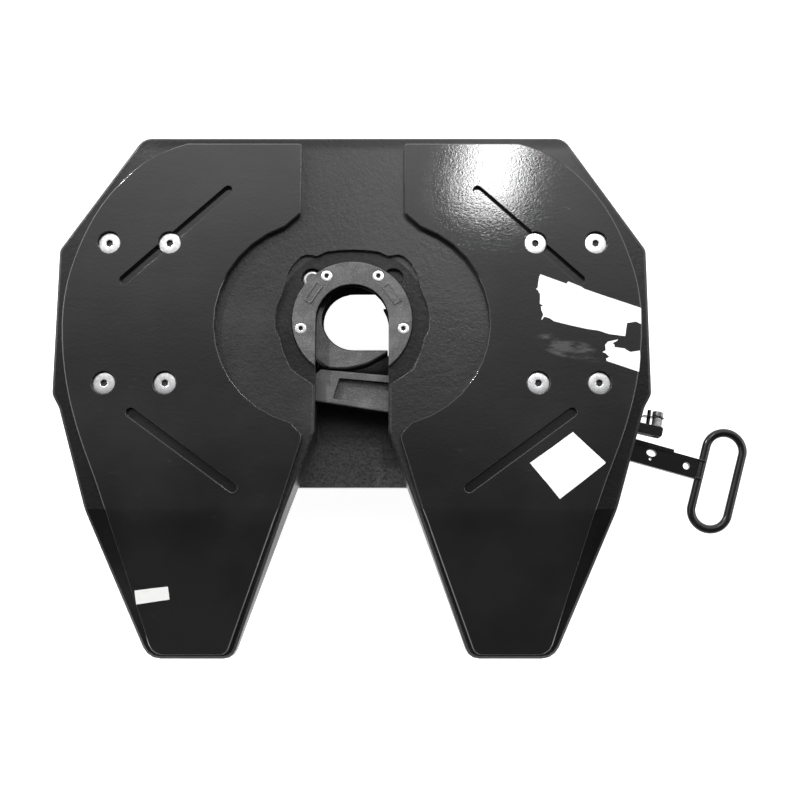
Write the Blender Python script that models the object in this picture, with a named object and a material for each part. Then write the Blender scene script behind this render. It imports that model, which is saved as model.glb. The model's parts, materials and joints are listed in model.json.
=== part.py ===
"""Fifth wheel coupling: the cast plate, lock and mounting brackets of a lorry's trailer coupling.

Run it with  blender --background --python part.py,  or from the text editor.

The sizes are written in millimetres from the kingpin axis, +Y to the front of the vehicle and
+X to the side that the release handle comes out of, with z = 0 under the feet of the brackets.
An empty then carries the whole model to its reference point, the middle of its footprint.
"""

import math

import bmesh
import bpy
from mathutils import Matrix, Vector

for leftover in list(bpy.data.objects):
    bpy.data.objects.remove(leftover)

MM = 0.001
GAP = 0.3

# Heights above the ground
PITCH_HEIGHT = 135.0
CASTING_TOP = 213.0
SKIRT_BOTTOM = 140.0
DECK_THICKNESS = 14.0
LINER_THICKNESS = 11.7

# Plate outline, right half
PLATE_HALF_WIDTH = 478.0
PLATE_FRONT = 311.0
PLATE_REAR = -536.0
FRONT_CORNER_IN = 129.0
SIDE_FRONT = 118.0
SIDE_REAR = -122.0
SHOULDER_IN = 12.0
SHOULDER_BACK = 22.0
RAMP_START = -306.0
RAMP_ANGLE = 12.5
LEG_OUTER_AT_RAMP = 417.5
LEG_OUTER_AT_REAR = 319.5
LEG_INNER_AT_RAMP = 104.0
LEG_INNER_AT_REAR = 186.0
THROAT_HALF = 58.7
THROAT_MOUTH = -183.0
SKIRT_THICKNESS = 13.0
RIB_THICKNESS = 12.0
EDGE_ROUND = 4.0
CROSS_RIB_FRONT = 60.0
CROSS_RIB_REAR = -40.0
FRONT_RIB_X = 170.0
LOCK_RIB_X = 150.0
LOCK_RIB_REAR = -225.0

# Wear ring and the cast hollow around it
RING_RADIUS = 97.0
RING_THICKNESS = 9.7
RING_TOP = 214.0
RING_BOLT_CIRCLE = 84.0
RING_BOLT_ANGLES = (60.1, 119.9, -10.3, 190.3)
RECESS_RADIUS = 117.0
RECESS_DEPTH = 6.0
RECESS_EDGE = (
    (90, 0.3), (79.8, 1.4), (69.6, 4.5), (61.6, 4.2), (55.6, 15.3), (51.2, 18.1), (43.6, 16.9),
    (36.6, 13.5), (32.5, 9.4), (20.3, 4.4), (10.7, 6.7), (2.3, 8.9), (-7.5, 8.1), (-14.0, 3.3),
    (-24.4, 5.5), (-39.8, 11.0), (-60.1, 6.3),
)
RING_SCREW_HEAD = 9.0
RING_SCREW_SHANK = 6.0
POCKET_RADIUS = 17.5

# Lock jaw
JAW_PIVOT = (-66.0, 70.0)
JAW_BOTTOM = 164.0
JAW_THICKNESS = 30.0
JAW_MOUTH = 50.5
JAW_MOUTH_CENTRE = (2.0, 4.5)
JAW_OUTER = 84.0
JAW_BOSS = 36.0
JAW_UPPER_REACH = 48.0
JAW_LOWER_REACH = 57.2
JAW_BACK = -76.0
JAW_BACK_CORNER = -8.0
JAW_BACK_BEND = (24.0, -69.0)
JAW_TIP_BACK = -50.0
JAW_PIN_RADIUS = 15.0
JAW_BUSH_WALL = 4.0
HOUSING_WALL = 14.0
HOUSING_FLOOR = 15.7
CAVITY_LEFT = -152.0
CAVITY_FRONT = 112.0
CAVITY_REAR = -118.0
CAVITY_RIGHT = 62.0
CAVITY_WINDOW = 50.0
HOUSING_REAR = -64.0
FLOOR_OPENING = 62.0
WEB_FRONT = -40.0
WEB_REAR = -261.0
WEB_DROP = 27.0
WEB_THICKNESS = 12.0
KEEPER_SCREWS = ((-27.0, 0.0), (0.0, 27.0))
KEEPER_THICKNESS = 5.0

# Lock bar, a wedge that slides across the throat behind the jaw
BAR_ANGLE = -8.9
BAR_FRONT_AT_AXIS = -82.0
BAR_FRONT_SLOPE = -0.0928
BAR_REAR_AT_AXIS = -139.0
BAR_THICKNESS = 28.0
BAR_TIP = -82.0
BAR_TIP_TAPER_FROM = -52.0
BAR_WEDGE_END = 90.0
BAR_TAIL_HALF_WIDTH = 20.0
BAR_POCKET_DEPTH = 9.0
BAR_POCKET_INSET = 12.0
BAR_POCKET_REAR = 8.0
WINDOW_CLEARANCE = 0.5
WINDOW_ROOM = 5.0

# Release handle
HANDLE_PIVOT_X = 236.0
HANDLE_ANGLE = -15.5
HANDLE_WIDTH = 33.0
HANDLE_THICKNESS = 10.0
HANDLE_BOSS = 24.0
HANDLE_PROUD = 85.06
HANDLE_EYE = 21.0
HANDLE_PIN_RADIUS = 9.0
HANDLE_PIN_FLANGE = 5.0
HANDLE_PIN_FOOT = 6.0
HANDLE_WASHER = 3.0
HANDLE_SWING = 12.0
LOOP_ROD = 7.0
LOOP_RADIUS = 31.0
LOOP_SPACING = 97.4
LOOP_TILT = 17.3
LOOP_SHIFT = 9.0
CATCH_INSIDE = 5.9
CATCH_LENGTH = 41.0
CATCH_PROUD = 5.0
SLOT_ROOM = 2.0
SLOT_HEADROOM = 6.0

# Return spring of the lock bar
SPRING_OFFSET = -48.0
SPRING_ANCHOR = 105.0
SPRING_PEG = 225.0
SPRING_HEIGHT = 177.0
SPRING_RADIUS = 9.0
SPRING_WIRE = 1.75
SPRING_TURNS = 9
SPRING_LEAD = 24.0
PEG_RADIUS = 5.0
EAR_MARGIN = 9.0

# Stop screw outside the skirt
STOP_AXIS = (PLATE_HALF_WIDTH + 10.5, -178.5)
STOP_ANGLE = 77.0
STOP_HEIGHT = 182.0
STOP_SCREW_RADIUS = 6.0
STOP_HEX_FLATS = 18.0
STOP_NUT = 9.0
STOP_HEAD = 8.0
STOP_CROWN = 1.6
STOP_TAIL = 17.0
STOP_PLATE = 3.0
STOP_GUIDE_RADIUS = 2.5
STOP_GUIDE_OFFSET = -13.0
LUG_LENGTH = 16.0
LUG_OUT = 9.0
LUG_ROOT = 45.0

# Liners and their screws
LINER_FRONT_MARGIN = 15.0
LINER_INNER = 84.0
LINER_BOW_CENTRE = (52.0, -6.0)
LINER_BOW_RADIUS = 169.0
LINER_LEG_MARGIN = 8.0
SCREW_FRONT = 126.0
SCREW_REAR = -106.0
SCREW_PLACES = (
    (PLATE_HALF_WIDTH - 83.0, SCREW_FRONT), (PLATE_HALF_WIDTH - 181.0, SCREW_FRONT),
    (PLATE_HALF_WIDTH - 84.0, SCREW_REAR), (PLATE_HALF_WIDTH - 181.0, SCREW_REAR),
)
SCREW_HEAD_RADIUS = 18.0
SCREW_SHANK_RADIUS = 10.0
SCREW_SINK = 6.0
SCREW_LENGTH = 24.0
SCREW_SOCKET = 12.0
GROOVES = (((368.0, 63.0), (204.0, 215.0)), ((349.0, -154.0), (185.0, -274.0)))
GROOVE_WIDTH = 15.5
GROOVE_DEPTH = 5.0

# Mounting brackets, rubber cushions and hold-down straps
BRACKET_X = 395.0
BRACKET_WIDTH = 90.0
FOOT_WIDTH = 112.0
FOOT_LENGTH = 300.0
FOOT_THICKNESS = 18.0
FOOT_BOLT_RADIUS = 9.0
FOOT_BOLT_SPACING = 72.0
FOOT_BOLT_EDGE = 18.0
CHEEK_THICKNESS = 15.0
CHEEK_FOOT_HALF = 110.0
SADDLE_RADIUS = 52.0
SADDLE_WALL = 14.0
CUSHION_THICKNESS = 10.0
CUSHION_ANGLE = 22.0
STRAP_WIDTH = 50.0
STRAP_THICKNESS = 16.0
STRAP_CLEARANCE = 1.5
PLATE_SWING = 12.0
STRAP_BOLT_Y = 88.0
STRAP_HALF_LENGTH = 110.0
STRAP_BOLT_RADIUS = 10.0
STRAP_BOLT_FLATS = 30.0
STRAP_BOLT_HEAD = 12.5
STRAP_BOLT_REACH = 185.0
WASHER_THICKNESS = 4.0
SIDE_CLEARANCE = 5.0

# Heights and lines that follow from the sizes
DECK_BOTTOM = CASTING_TOP - DECK_THICKNESS
LINER_BOTTOM = CASTING_TOP + GAP
LINER_TOP = LINER_BOTTOM + LINER_THICKNESS
RAMP_FALL = math.tan(math.radians(RAMP_ANGLE))
RING_BOTTOM = RING_TOP - RING_THICKNESS
CAVITY_FLOOR = JAW_BOTTOM - GAP
CAVITY_TOP = JAW_BOTTOM + JAW_THICKNESS + 1.7
HOUSING_BOTTOM = CAVITY_FLOOR - HOUSING_FLOOR
BAR_TOP = JAW_BOTTOM + BAR_THICKNESS
BAR_REAR_SLOPE = math.tan(math.radians(BAR_ANGLE))
SLIDE_WAY = Vector((math.cos(math.radians(BAR_ANGLE)), math.sin(math.radians(BAR_ANGLE))))
SLIDE_SIDE = Vector((-SLIDE_WAY.y, SLIDE_WAY.x))
HANDLE_TOP = JAW_BOTTOM - GAP
HANDLE_WAY = Vector((math.cos(math.radians(HANDLE_ANGLE)), math.sin(math.radians(HANDLE_ANGLE))))
HANDLE_SIDE = Vector((-HANDLE_WAY.y, HANDLE_WAY.x))
HANDLE_LENGTH = (PLATE_HALF_WIDTH + HANDLE_PROUD - HANDLE_PIVOT_X) / HANDLE_WAY.x
CATCH_START = (PLATE_HALF_WIDTH - CATCH_INSIDE - HANDLE_PIVOT_X) / HANDLE_WAY.x
CATCH_END = CATCH_START + CATCH_LENGTH
WASHER_TOP = BAR_TOP + GAP + GAP + HANDLE_WASHER
INNER_RIB_X = BRACKET_X - BRACKET_WIDTH / 2 - SIDE_CLEARANCE - RIB_THICKNESS / 2
OUTER_RIB_X = BRACKET_X + BRACKET_WIDTH / 2 + SIDE_CLEARANCE + RIB_THICKNESS / 2
STOP_WAY = Vector((math.cos(math.radians(STOP_ANGLE)), math.sin(math.radians(STOP_ANGLE))))
CUSHION_INNER = SADDLE_RADIUS + GAP
CUSHION_OUTER = CUSHION_INNER + CUSHION_THICKNESS
BEARING_RADIUS = CUSHION_OUTER + GAP
STRAP_DROP = SADDLE_RADIUS * math.sin(math.radians(PLATE_SWING)) + STRAP_CLEARANCE
STRAP_TOP = PITCH_HEIGHT - STRAP_DROP
STRAP_BOTTOM = STRAP_TOP - STRAP_THICKNESS


def bar_front(x):
    return BAR_FRONT_AT_AXIS + BAR_FRONT_SLOPE * x


def bar_rear(x):
    return BAR_REAR_AT_AXIS + BAR_REAR_SLOPE * x


def bar_middle(x):
    return (bar_front(0) + bar_rear(0)) / 2 + BAR_REAR_SLOPE * x


BAR_ORIGIN = Vector((0, bar_middle(0)))
HANDLE_PIVOT = Vector((HANDLE_PIVOT_X, bar_middle(HANDLE_PIVOT_X) + 3))


def along_bar(distance, offset):
    """Point at a distance along the lock bar's slide and an offset to its front side."""
    return BAR_ORIGIN + SLIDE_WAY * distance + SLIDE_SIDE * offset


def along_handle(distance, offset):
    return HANDLE_PIVOT + HANDLE_WAY * distance + HANDLE_SIDE * offset


def slide_line(x, offset):
    """Place on the line that a point of the lock bar draws as it slides."""
    return bar_middle(x) + offset / SLIDE_WAY.x


def skirt_side(y):
    """Outside of the skirt between its shoulder and the start of the ramp."""
    shoulder = SIDE_REAR - SHOULDER_BACK
    share = (y - RAMP_START) / (shoulder - RAMP_START)
    return LEG_OUTER_AT_RAMP + share * (PLATE_HALF_WIDTH - SHOULDER_IN - LEG_OUTER_AT_RAMP)


def swung_handle(distance, offset):
    """Point of the handle when it is swung to its limit."""
    angle = math.radians(HANDLE_ANGLE + HANDLE_SWING)
    way = Vector((math.cos(angle), math.sin(angle)))
    return HANDLE_PIVOT + way * distance + Vector((-way.y, way.x)) * offset


LOOP_NORMAL = Vector((math.cos(math.radians(LOOP_TILT)), -math.sin(math.radians(LOOP_TILT))))
LOOP_LINE = Vector((-LOOP_NORMAL.y, LOOP_NORMAL.x))
LOOP_CENTRE = along_handle(HANDLE_LENGTH, 0) + LOOP_NORMAL * LOOP_RADIUS - LOOP_LINE * LOOP_SHIFT
HANDLE_REACH = (LOOP_CENTRE + LOOP_LINE * LOOP_SPACING / 2).x + LOOP_RADIUS + LOOP_ROD

# Reference point: the middle of the footprint, on the ground
MIDDLE_X = (HANDLE_REACH - PLATE_HALF_WIDTH) / 2
MIDDLE_Y = (PLATE_FRONT + PLATE_REAR) / 2


def material(name, colour, roughness, metallic):
    """Principled material with one colour, roughness and metallic value."""
    look = bpy.data.materials.new(name)
    look.use_nodes = True
    shader = look.node_tree.nodes["Principled BSDF"]
    shader.inputs["Base Color"].default_value = (*colour, 1)
    shader.inputs["Roughness"].default_value = roughness
    shader.inputs["Metallic"].default_value = metallic
    look.diffuse_color = (*colour, 1)
    return look


def to_object(mesh, name):
    """Turns a bmesh into an object, its faces pointing out."""
    bmesh.ops.recalc_face_normals(mesh, faces=mesh.faces[:])
    data = bpy.data.meshes.new(name)
    mesh.to_mesh(data)
    mesh.free()
    made = bpy.data.objects.new(name, data)
    bpy.context.scene.collection.objects.link(made)
    return made


def fillet(corners, steps=3):
    """Closed outline from (x, y, radius) corners, each rounded to its radius."""
    points = []
    count = len(corners)
    for i, (x, y, radius) in enumerate(corners):
        here = Vector((x, y))
        if radius <= 0:
            points.append((x, y))
            continue
        back = Vector(corners[i - 1][:2]) - here
        ahead = Vector(corners[(i + 1) % count][:2]) - here
        half = back.angle(ahead) / 2
        reach = min(radius / math.tan(half), 0.49 * min(back.length, ahead.length))
        radius = reach * math.tan(half)
        middle = here + (back.normalized() + ahead.normalized()).normalized() * radius / math.sin(half)
        first = here + back.normalized() * reach - middle
        last = here + ahead.normalized() * reach - middle
        start = math.atan2(first.y, first.x)
        sweep = (math.atan2(last.y, last.x) - start + math.pi) % (2 * math.pi) - math.pi
        for k in range(steps + 1):
            angle = start + sweep * k / steps
            points.append((middle.x + radius * math.cos(angle), middle.y + radius * math.sin(angle)))
    return points


def inset(corners, distance):
    """Corners of a counter-clockwise outline moved inwards by a distance."""
    moved = []
    count = len(corners)
    for i, (x, y, radius) in enumerate(corners):
        here = Vector((x, y))
        before = (here - Vector(corners[i - 1][:2])).normalized()
        after = (Vector(corners[(i + 1) % count][:2]) - here).normalized()
        one = Vector((-before.y, before.x))
        two = Vector((-after.y, after.x))
        shift = (one + two) / (1 + one.dot(two)) * distance
        moved.append((x + shift.x, y + shift.y, radius))
    return moved


def arc(centre, radius, start, end, steps):
    """Points on an arc, angles in degrees."""
    found = []
    for k in range(steps + 1):
        angle = math.radians(start + (end - start) * k / steps)
        found.append((centre[0] + radius * math.cos(angle), centre[1] + radius * math.sin(angle)))
    return found


def mirrored(points):
    """The same outline on the other side of the vehicle's centre line, still counter-clockwise."""
    return [(-p[0], *p[1:]) for p in reversed(points)]


def slot_outline(start, end, width, steps=6):
    """Round-ended slot from one centre to the other."""
    one = Vector(start)
    two = Vector(end)
    turn = math.degrees(math.atan2(two.y - one.y, two.x - one.x))
    ends = arc(two, width / 2, turn - 90, turn + 90, steps)
    return ends + arc(one, width / 2, turn + 90, turn + 270, steps)


def prism(name, outline, low, high, holes=()):
    """Straight body with the given outline, and holes, between two heights."""
    mesh = bmesh.new()
    edges = []
    for loop in (outline, *holes):
        ring = [mesh.verts.new((p[0] * MM, p[1] * MM, low * MM)) for p in loop]
        edges += [mesh.edges.new(pair) for pair in zip(ring, ring[1:] + ring[:1])]
    bmesh.ops.triangle_fill(mesh, use_beauty=True, use_dissolve=False, edges=edges)
    lifted = bmesh.ops.extrude_face_region(mesh, geom=mesh.faces[:])
    moved = [item for item in lifted["geom"] if isinstance(item, bmesh.types.BMVert)]
    bmesh.ops.translate(mesh, verts=moved, vec=(0, 0, (high - low) * MM))
    return to_object(mesh, name)


def box(name, x0, x1, y0, y1, z0, z1):
    return prism(name, [(x0, y0), (x1, y0), (x1, y1), (x0, y1)], z0, z1)


def cylinder(name, centre, radius, low, high, sides=16):
    step = 360 / sides
    return prism(name, arc(centre, radius, 0, 360 - step, sides - 1), low, high)


def turned(name, centre, profile, sides=16):
    """Body turned about a vertical axis from (radius, height) points, bottom to top."""
    mesh = bmesh.new()
    rings = []
    for radius, height in profile:
        ring = []
        for x, y in arc(centre, radius, 0, 360 - 360 / sides, sides - 1):
            ring.append(mesh.verts.new((x * MM, y * MM, height * MM)))
        rings.append(ring)
    for low, high in zip(rings, rings[1:]):
        for k in range(sides):
            n = (k + 1) % sides
            mesh.faces.new((low[k], low[n], high[n], high[k]))
    mesh.faces.new(list(reversed(rings[0])))
    mesh.faces.new(rings[-1])
    return to_object(mesh, name)


def hexagon(centre, flats, turn=0.0):
    return arc(centre, flats / math.sqrt(3), turn, turn + 300, 5)


def moved_by(piece, matrix):
    piece.data.transform(matrix)
    return piece


def upright(piece):
    """Turns a body drawn as (y, z, x) so that its length runs across the vehicle."""
    return moved_by(piece, Matrix(((0, 0, 1, 0), (1, 0, 0, 0), (0, 1, 0, 0), (0, 0, 0, 1))))


def combine(piece, other, operation):
    """Applies an exact Boolean to a piece and removes the other body."""
    step = piece.modifiers.new("step", "BOOLEAN")
    step.operation = operation
    step.solver = "EXACT"
    step.object = other
    graph = bpy.context.evaluated_depsgraph_get()
    result = bpy.data.meshes.new_from_object(piece.evaluated_get(graph))
    piece.modifiers.clear()
    old = piece.data
    piece.data = result
    bpy.data.meshes.remove(old)
    bpy.data.objects.remove(other)
    return piece


def cut(piece, *others):
    for other in others:
        combine(piece, other, "DIFFERENCE")
    return piece


def add(piece, *others):
    for other in others:
        combine(piece, other, "UNION")
    return piece


def fall_along_ramp(piece, above):
    """Lets everything over a height drop with the ramp, behind the line where it starts."""
    mesh = bmesh.new()
    mesh.from_mesh(piece.data)
    plane = Vector((0, RAMP_START * MM, 0))
    parts = mesh.verts[:] + mesh.edges[:] + mesh.faces[:]
    bmesh.ops.bisect_plane(mesh, geom=parts, plane_co=plane, plane_no=(0, 1, 0), dist=1e-7)
    for vert in mesh.verts:
        behind = RAMP_START * MM - vert.co.y
        if behind > 0 and vert.co.z > above * MM:
            vert.co.z -= behind * RAMP_FALL
    mesh.to_mesh(piece.data)
    mesh.free()
    return piece


def soften_top(piece, width, steps, level):
    """Rounds the edges of a prism's upper face, found by their height."""
    mesh = bmesh.new()
    mesh.from_mesh(piece.data)
    edges = []
    for edge in mesh.edges:
        high = all(abs(v.co.z - level * MM) < 1e-6 for v in edge.verts)
        if high and edge.is_manifold and edge.calc_face_angle() > 0.8:
            edges.append(edge)
    bmesh.ops.bevel(mesh, geom=edges, offset=width * MM, segments=steps, affect="EDGES", profile=0.5)
    mesh.to_mesh(piece.data)
    mesh.free()
    return piece


def screw(name, centre, head, head_height, shank, top, bottom, socket):
    """Cap screw with a hexagon socket, its head's top and its shank's end at given heights."""
    profile = [(shank, bottom), (shank, top - head_height), (head, top - head_height)]
    profile += [(head, top - 1), (head - 1, top)]
    made = turned(name, centre, profile)
    return cut(made, prism("socket", hexagon(centre, socket), top - head_height * 0.6, top + 1))


def numbered(name, pieces):
    """Names identical fasteners one by one."""
    for number, piece in enumerate(pieces, 1):
        piece.name = f"{name}_{number}"
    return pieces


# The outline of the right half of the plate, counter-clockwise from the throat

def half_plate():
    return [
        (0.0, THROAT_HALF, 0),
        *[(x, y, 0) for x, y in arc((0, 0), THROAT_HALF, 80, 0, 8)],
        (THROAT_HALF, THROAT_MOUTH, 30),
        (LEG_INNER_AT_RAMP, RAMP_START, 60),
        (LEG_INNER_AT_REAR, PLATE_REAR, 22),
        (LEG_OUTER_AT_REAR, PLATE_REAR, 30),
        (LEG_OUTER_AT_RAMP, RAMP_START, 200),
        (PLATE_HALF_WIDTH - SHOULDER_IN, SIDE_REAR - SHOULDER_BACK, 20),
        (PLATE_HALF_WIDTH, SIDE_REAR, 16),
        (PLATE_HALF_WIDTH, SIDE_FRONT, 16),
        (PLATE_HALF_WIDTH - FRONT_CORNER_IN, PLATE_FRONT, 25),
        (0.0, PLATE_FRONT, 0),
    ]


def whole_plate():
    right = half_plate()
    left = mirrored(right)
    return fillet(right[1:-1] + left[1:])


def keep(cutter, body):
    """Takes a rib, boss or housing out of the hollow that would remove it."""
    return combine(cutter, body, "DIFFERENCE")


def cavity_outline():
    """Space that the jaw turns in, from locked to open."""
    return fillet([
        (CAVITY_LEFT, CAVITY_REAR, 12),
        (CAVITY_WINDOW, CAVITY_REAR, 0),
        (CAVITY_WINDOW, 0, 0),
        (CAVITY_RIGHT, CAVITY_RIGHT - CAVITY_WINDOW, 0),
        (CAVITY_RIGHT, CAVITY_FRONT - 20, 20),
        (CAVITY_RIGHT - 22, CAVITY_FRONT, 20),
        (CAVITY_LEFT + 52, CAVITY_FRONT, 30),
        (CAVITY_LEFT, CAVITY_FRONT - 52, 30),
    ])


def floor_opening():
    """Squarer front corner of the throat, in the floor under the jaw."""
    side = THROAT_HALF - GAP
    half = FLOOR_OPENING / 2
    return fillet([(-10, half, 0), (side, half, 0), (side, FLOOR_OPENING, 26), (-10, FLOOR_OPENING, 6)])


def housing_outline():
    right = JAW_PIVOT[0] * -1 + POCKET_RADIUS + HOUSING_WALL
    return fillet([
        (CAVITY_LEFT - HOUSING_WALL, HOUSING_REAR, 10),
        (right, HOUSING_REAR, 10),
        (right, CAVITY_FRONT + HOUSING_WALL, 40),
        (CAVITY_LEFT + 42, CAVITY_FRONT + HOUSING_WALL, 30),
        (CAVITY_LEFT - HOUSING_WALL, CAVITY_FRONT - 46, 30),
    ])


def underside_hollow(side):
    """Hollow under one half of the deck, with its ribs, bosses and saddle left standing."""
    corners = inset(half_plate(), SKIRT_THICKNESS)
    outline = fillet(corners, 3)
    if side < 0:
        outline = mirrored(outline)
    hollow = prism("hollow", outline, SKIRT_BOTTOM - 60, DECK_BOTTOM)
    fall_along_ramp(hollow, DECK_BOTTOM - 1)
    half = RIB_THICKNESS / 2
    low = SKIRT_BOTTOM - 70
    high = CASTING_TOP + 5

    def across(y, start, end, bottom=low):
        x0, x1 = sorted((side * start, side * end))
        keep(hollow, box("rib", x0, x1, y - half, y + half, bottom, high))

    def lengthwise(x, start, end, bottom=low):
        middle = side * x
        keep(hollow, box("rib", middle - half, middle + half, start, end, bottom, high))

    inner_rib = INNER_RIB_X
    outer_rib = OUTER_RIB_X
    front_line = SCREW_FRONT
    rear_line = SCREW_REAR
    keep(hollow, prism("housing", housing_outline(), low, high))
    across(front_line, 0, PLATE_HALF_WIDTH)
    across(CROSS_RIB_FRONT, 90, inner_rib)
    across(CROSS_RIB_REAR, 90, inner_rib)
    across(rear_line, inner_rib, PLATE_HALF_WIDTH)
    across(RAMP_START, 60, PLATE_HALF_WIDTH)
    across((RAMP_START + PLATE_REAR) / 2, 60, PLATE_HALF_WIDTH)
    lengthwise(inner_rib, RAMP_START - half, PLATE_FRONT)
    lengthwise(outer_rib, rear_line, front_line)
    lengthwise(FRONT_RIB_X, front_line, PLATE_FRONT)
    if side > 0:
        lengthwise(LOCK_RIB_X, LOCK_RIB_REAR, CROSS_RIB_REAR)
    saddle_half = BEARING_RADIUS + 13
    x0, x1 = sorted((side * inner_rib, side * outer_rib))
    keep(hollow, box("saddle", x0, x1, -saddle_half, saddle_half, PITCH_HEIGHT + 13, high))
    for x, y in SCREW_PLACES:
        keep(hollow, cylinder("boss", (side * x, y), SCREW_SHANK_RADIUS + 9, SKIRT_BOTTOM + 40, high, 16))
    for y in (-STRAP_BOLT_Y, STRAP_BOLT_Y):
        centre = (side * BRACKET_X, y)
        keep(hollow, cylinder("boss", centre, STRAP_BOLT_RADIUS + 8, STRAP_TOP + GAP, high, 16))
    return hollow


def recess_outline():
    """Rough hollow around the ring, from its edge's angle and distance on the right-hand side."""
    right = []
    for angle, extra in reversed(RECESS_EDGE):
        reach = RECESS_RADIUS + extra
        turn = math.radians(angle)
        right.append((reach * math.cos(turn), reach * math.sin(turn), 4))
    return fillet(right + mirrored(right[:-1]), 2)


def countersink(centre, side):
    """Cutter for one liner screw: wide recess, cone and bore."""
    seat = LINER_TOP - SCREW_SINK
    cone = SCREW_HEAD_RADIUS - SCREW_SHANK_RADIUS
    profile = [
        (SCREW_SHANK_RADIUS + GAP, seat - SCREW_LENGTH - 1.5),
        (SCREW_SHANK_RADIUS + GAP, seat - cone - GAP),
        (SCREW_HEAD_RADIUS, seat - 2 * GAP),
        (SCREW_HEAD_RADIUS + 1, seat - 2 * GAP),
        (SCREW_HEAD_RADIUS + 1, LINER_TOP + 1),
    ]
    return turned("countersink", (side * centre[0], centre[1]), profile)


def across_cylinder(name, centre_y, centre_z, radius, x0, x1, sides=32):
    """Cylinder lying across the vehicle."""
    made = prism(name, arc((centre_y, centre_z), radius, 0, 360 - 360 / sides, sides - 1), x0, x1)
    return upright(made)


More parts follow.
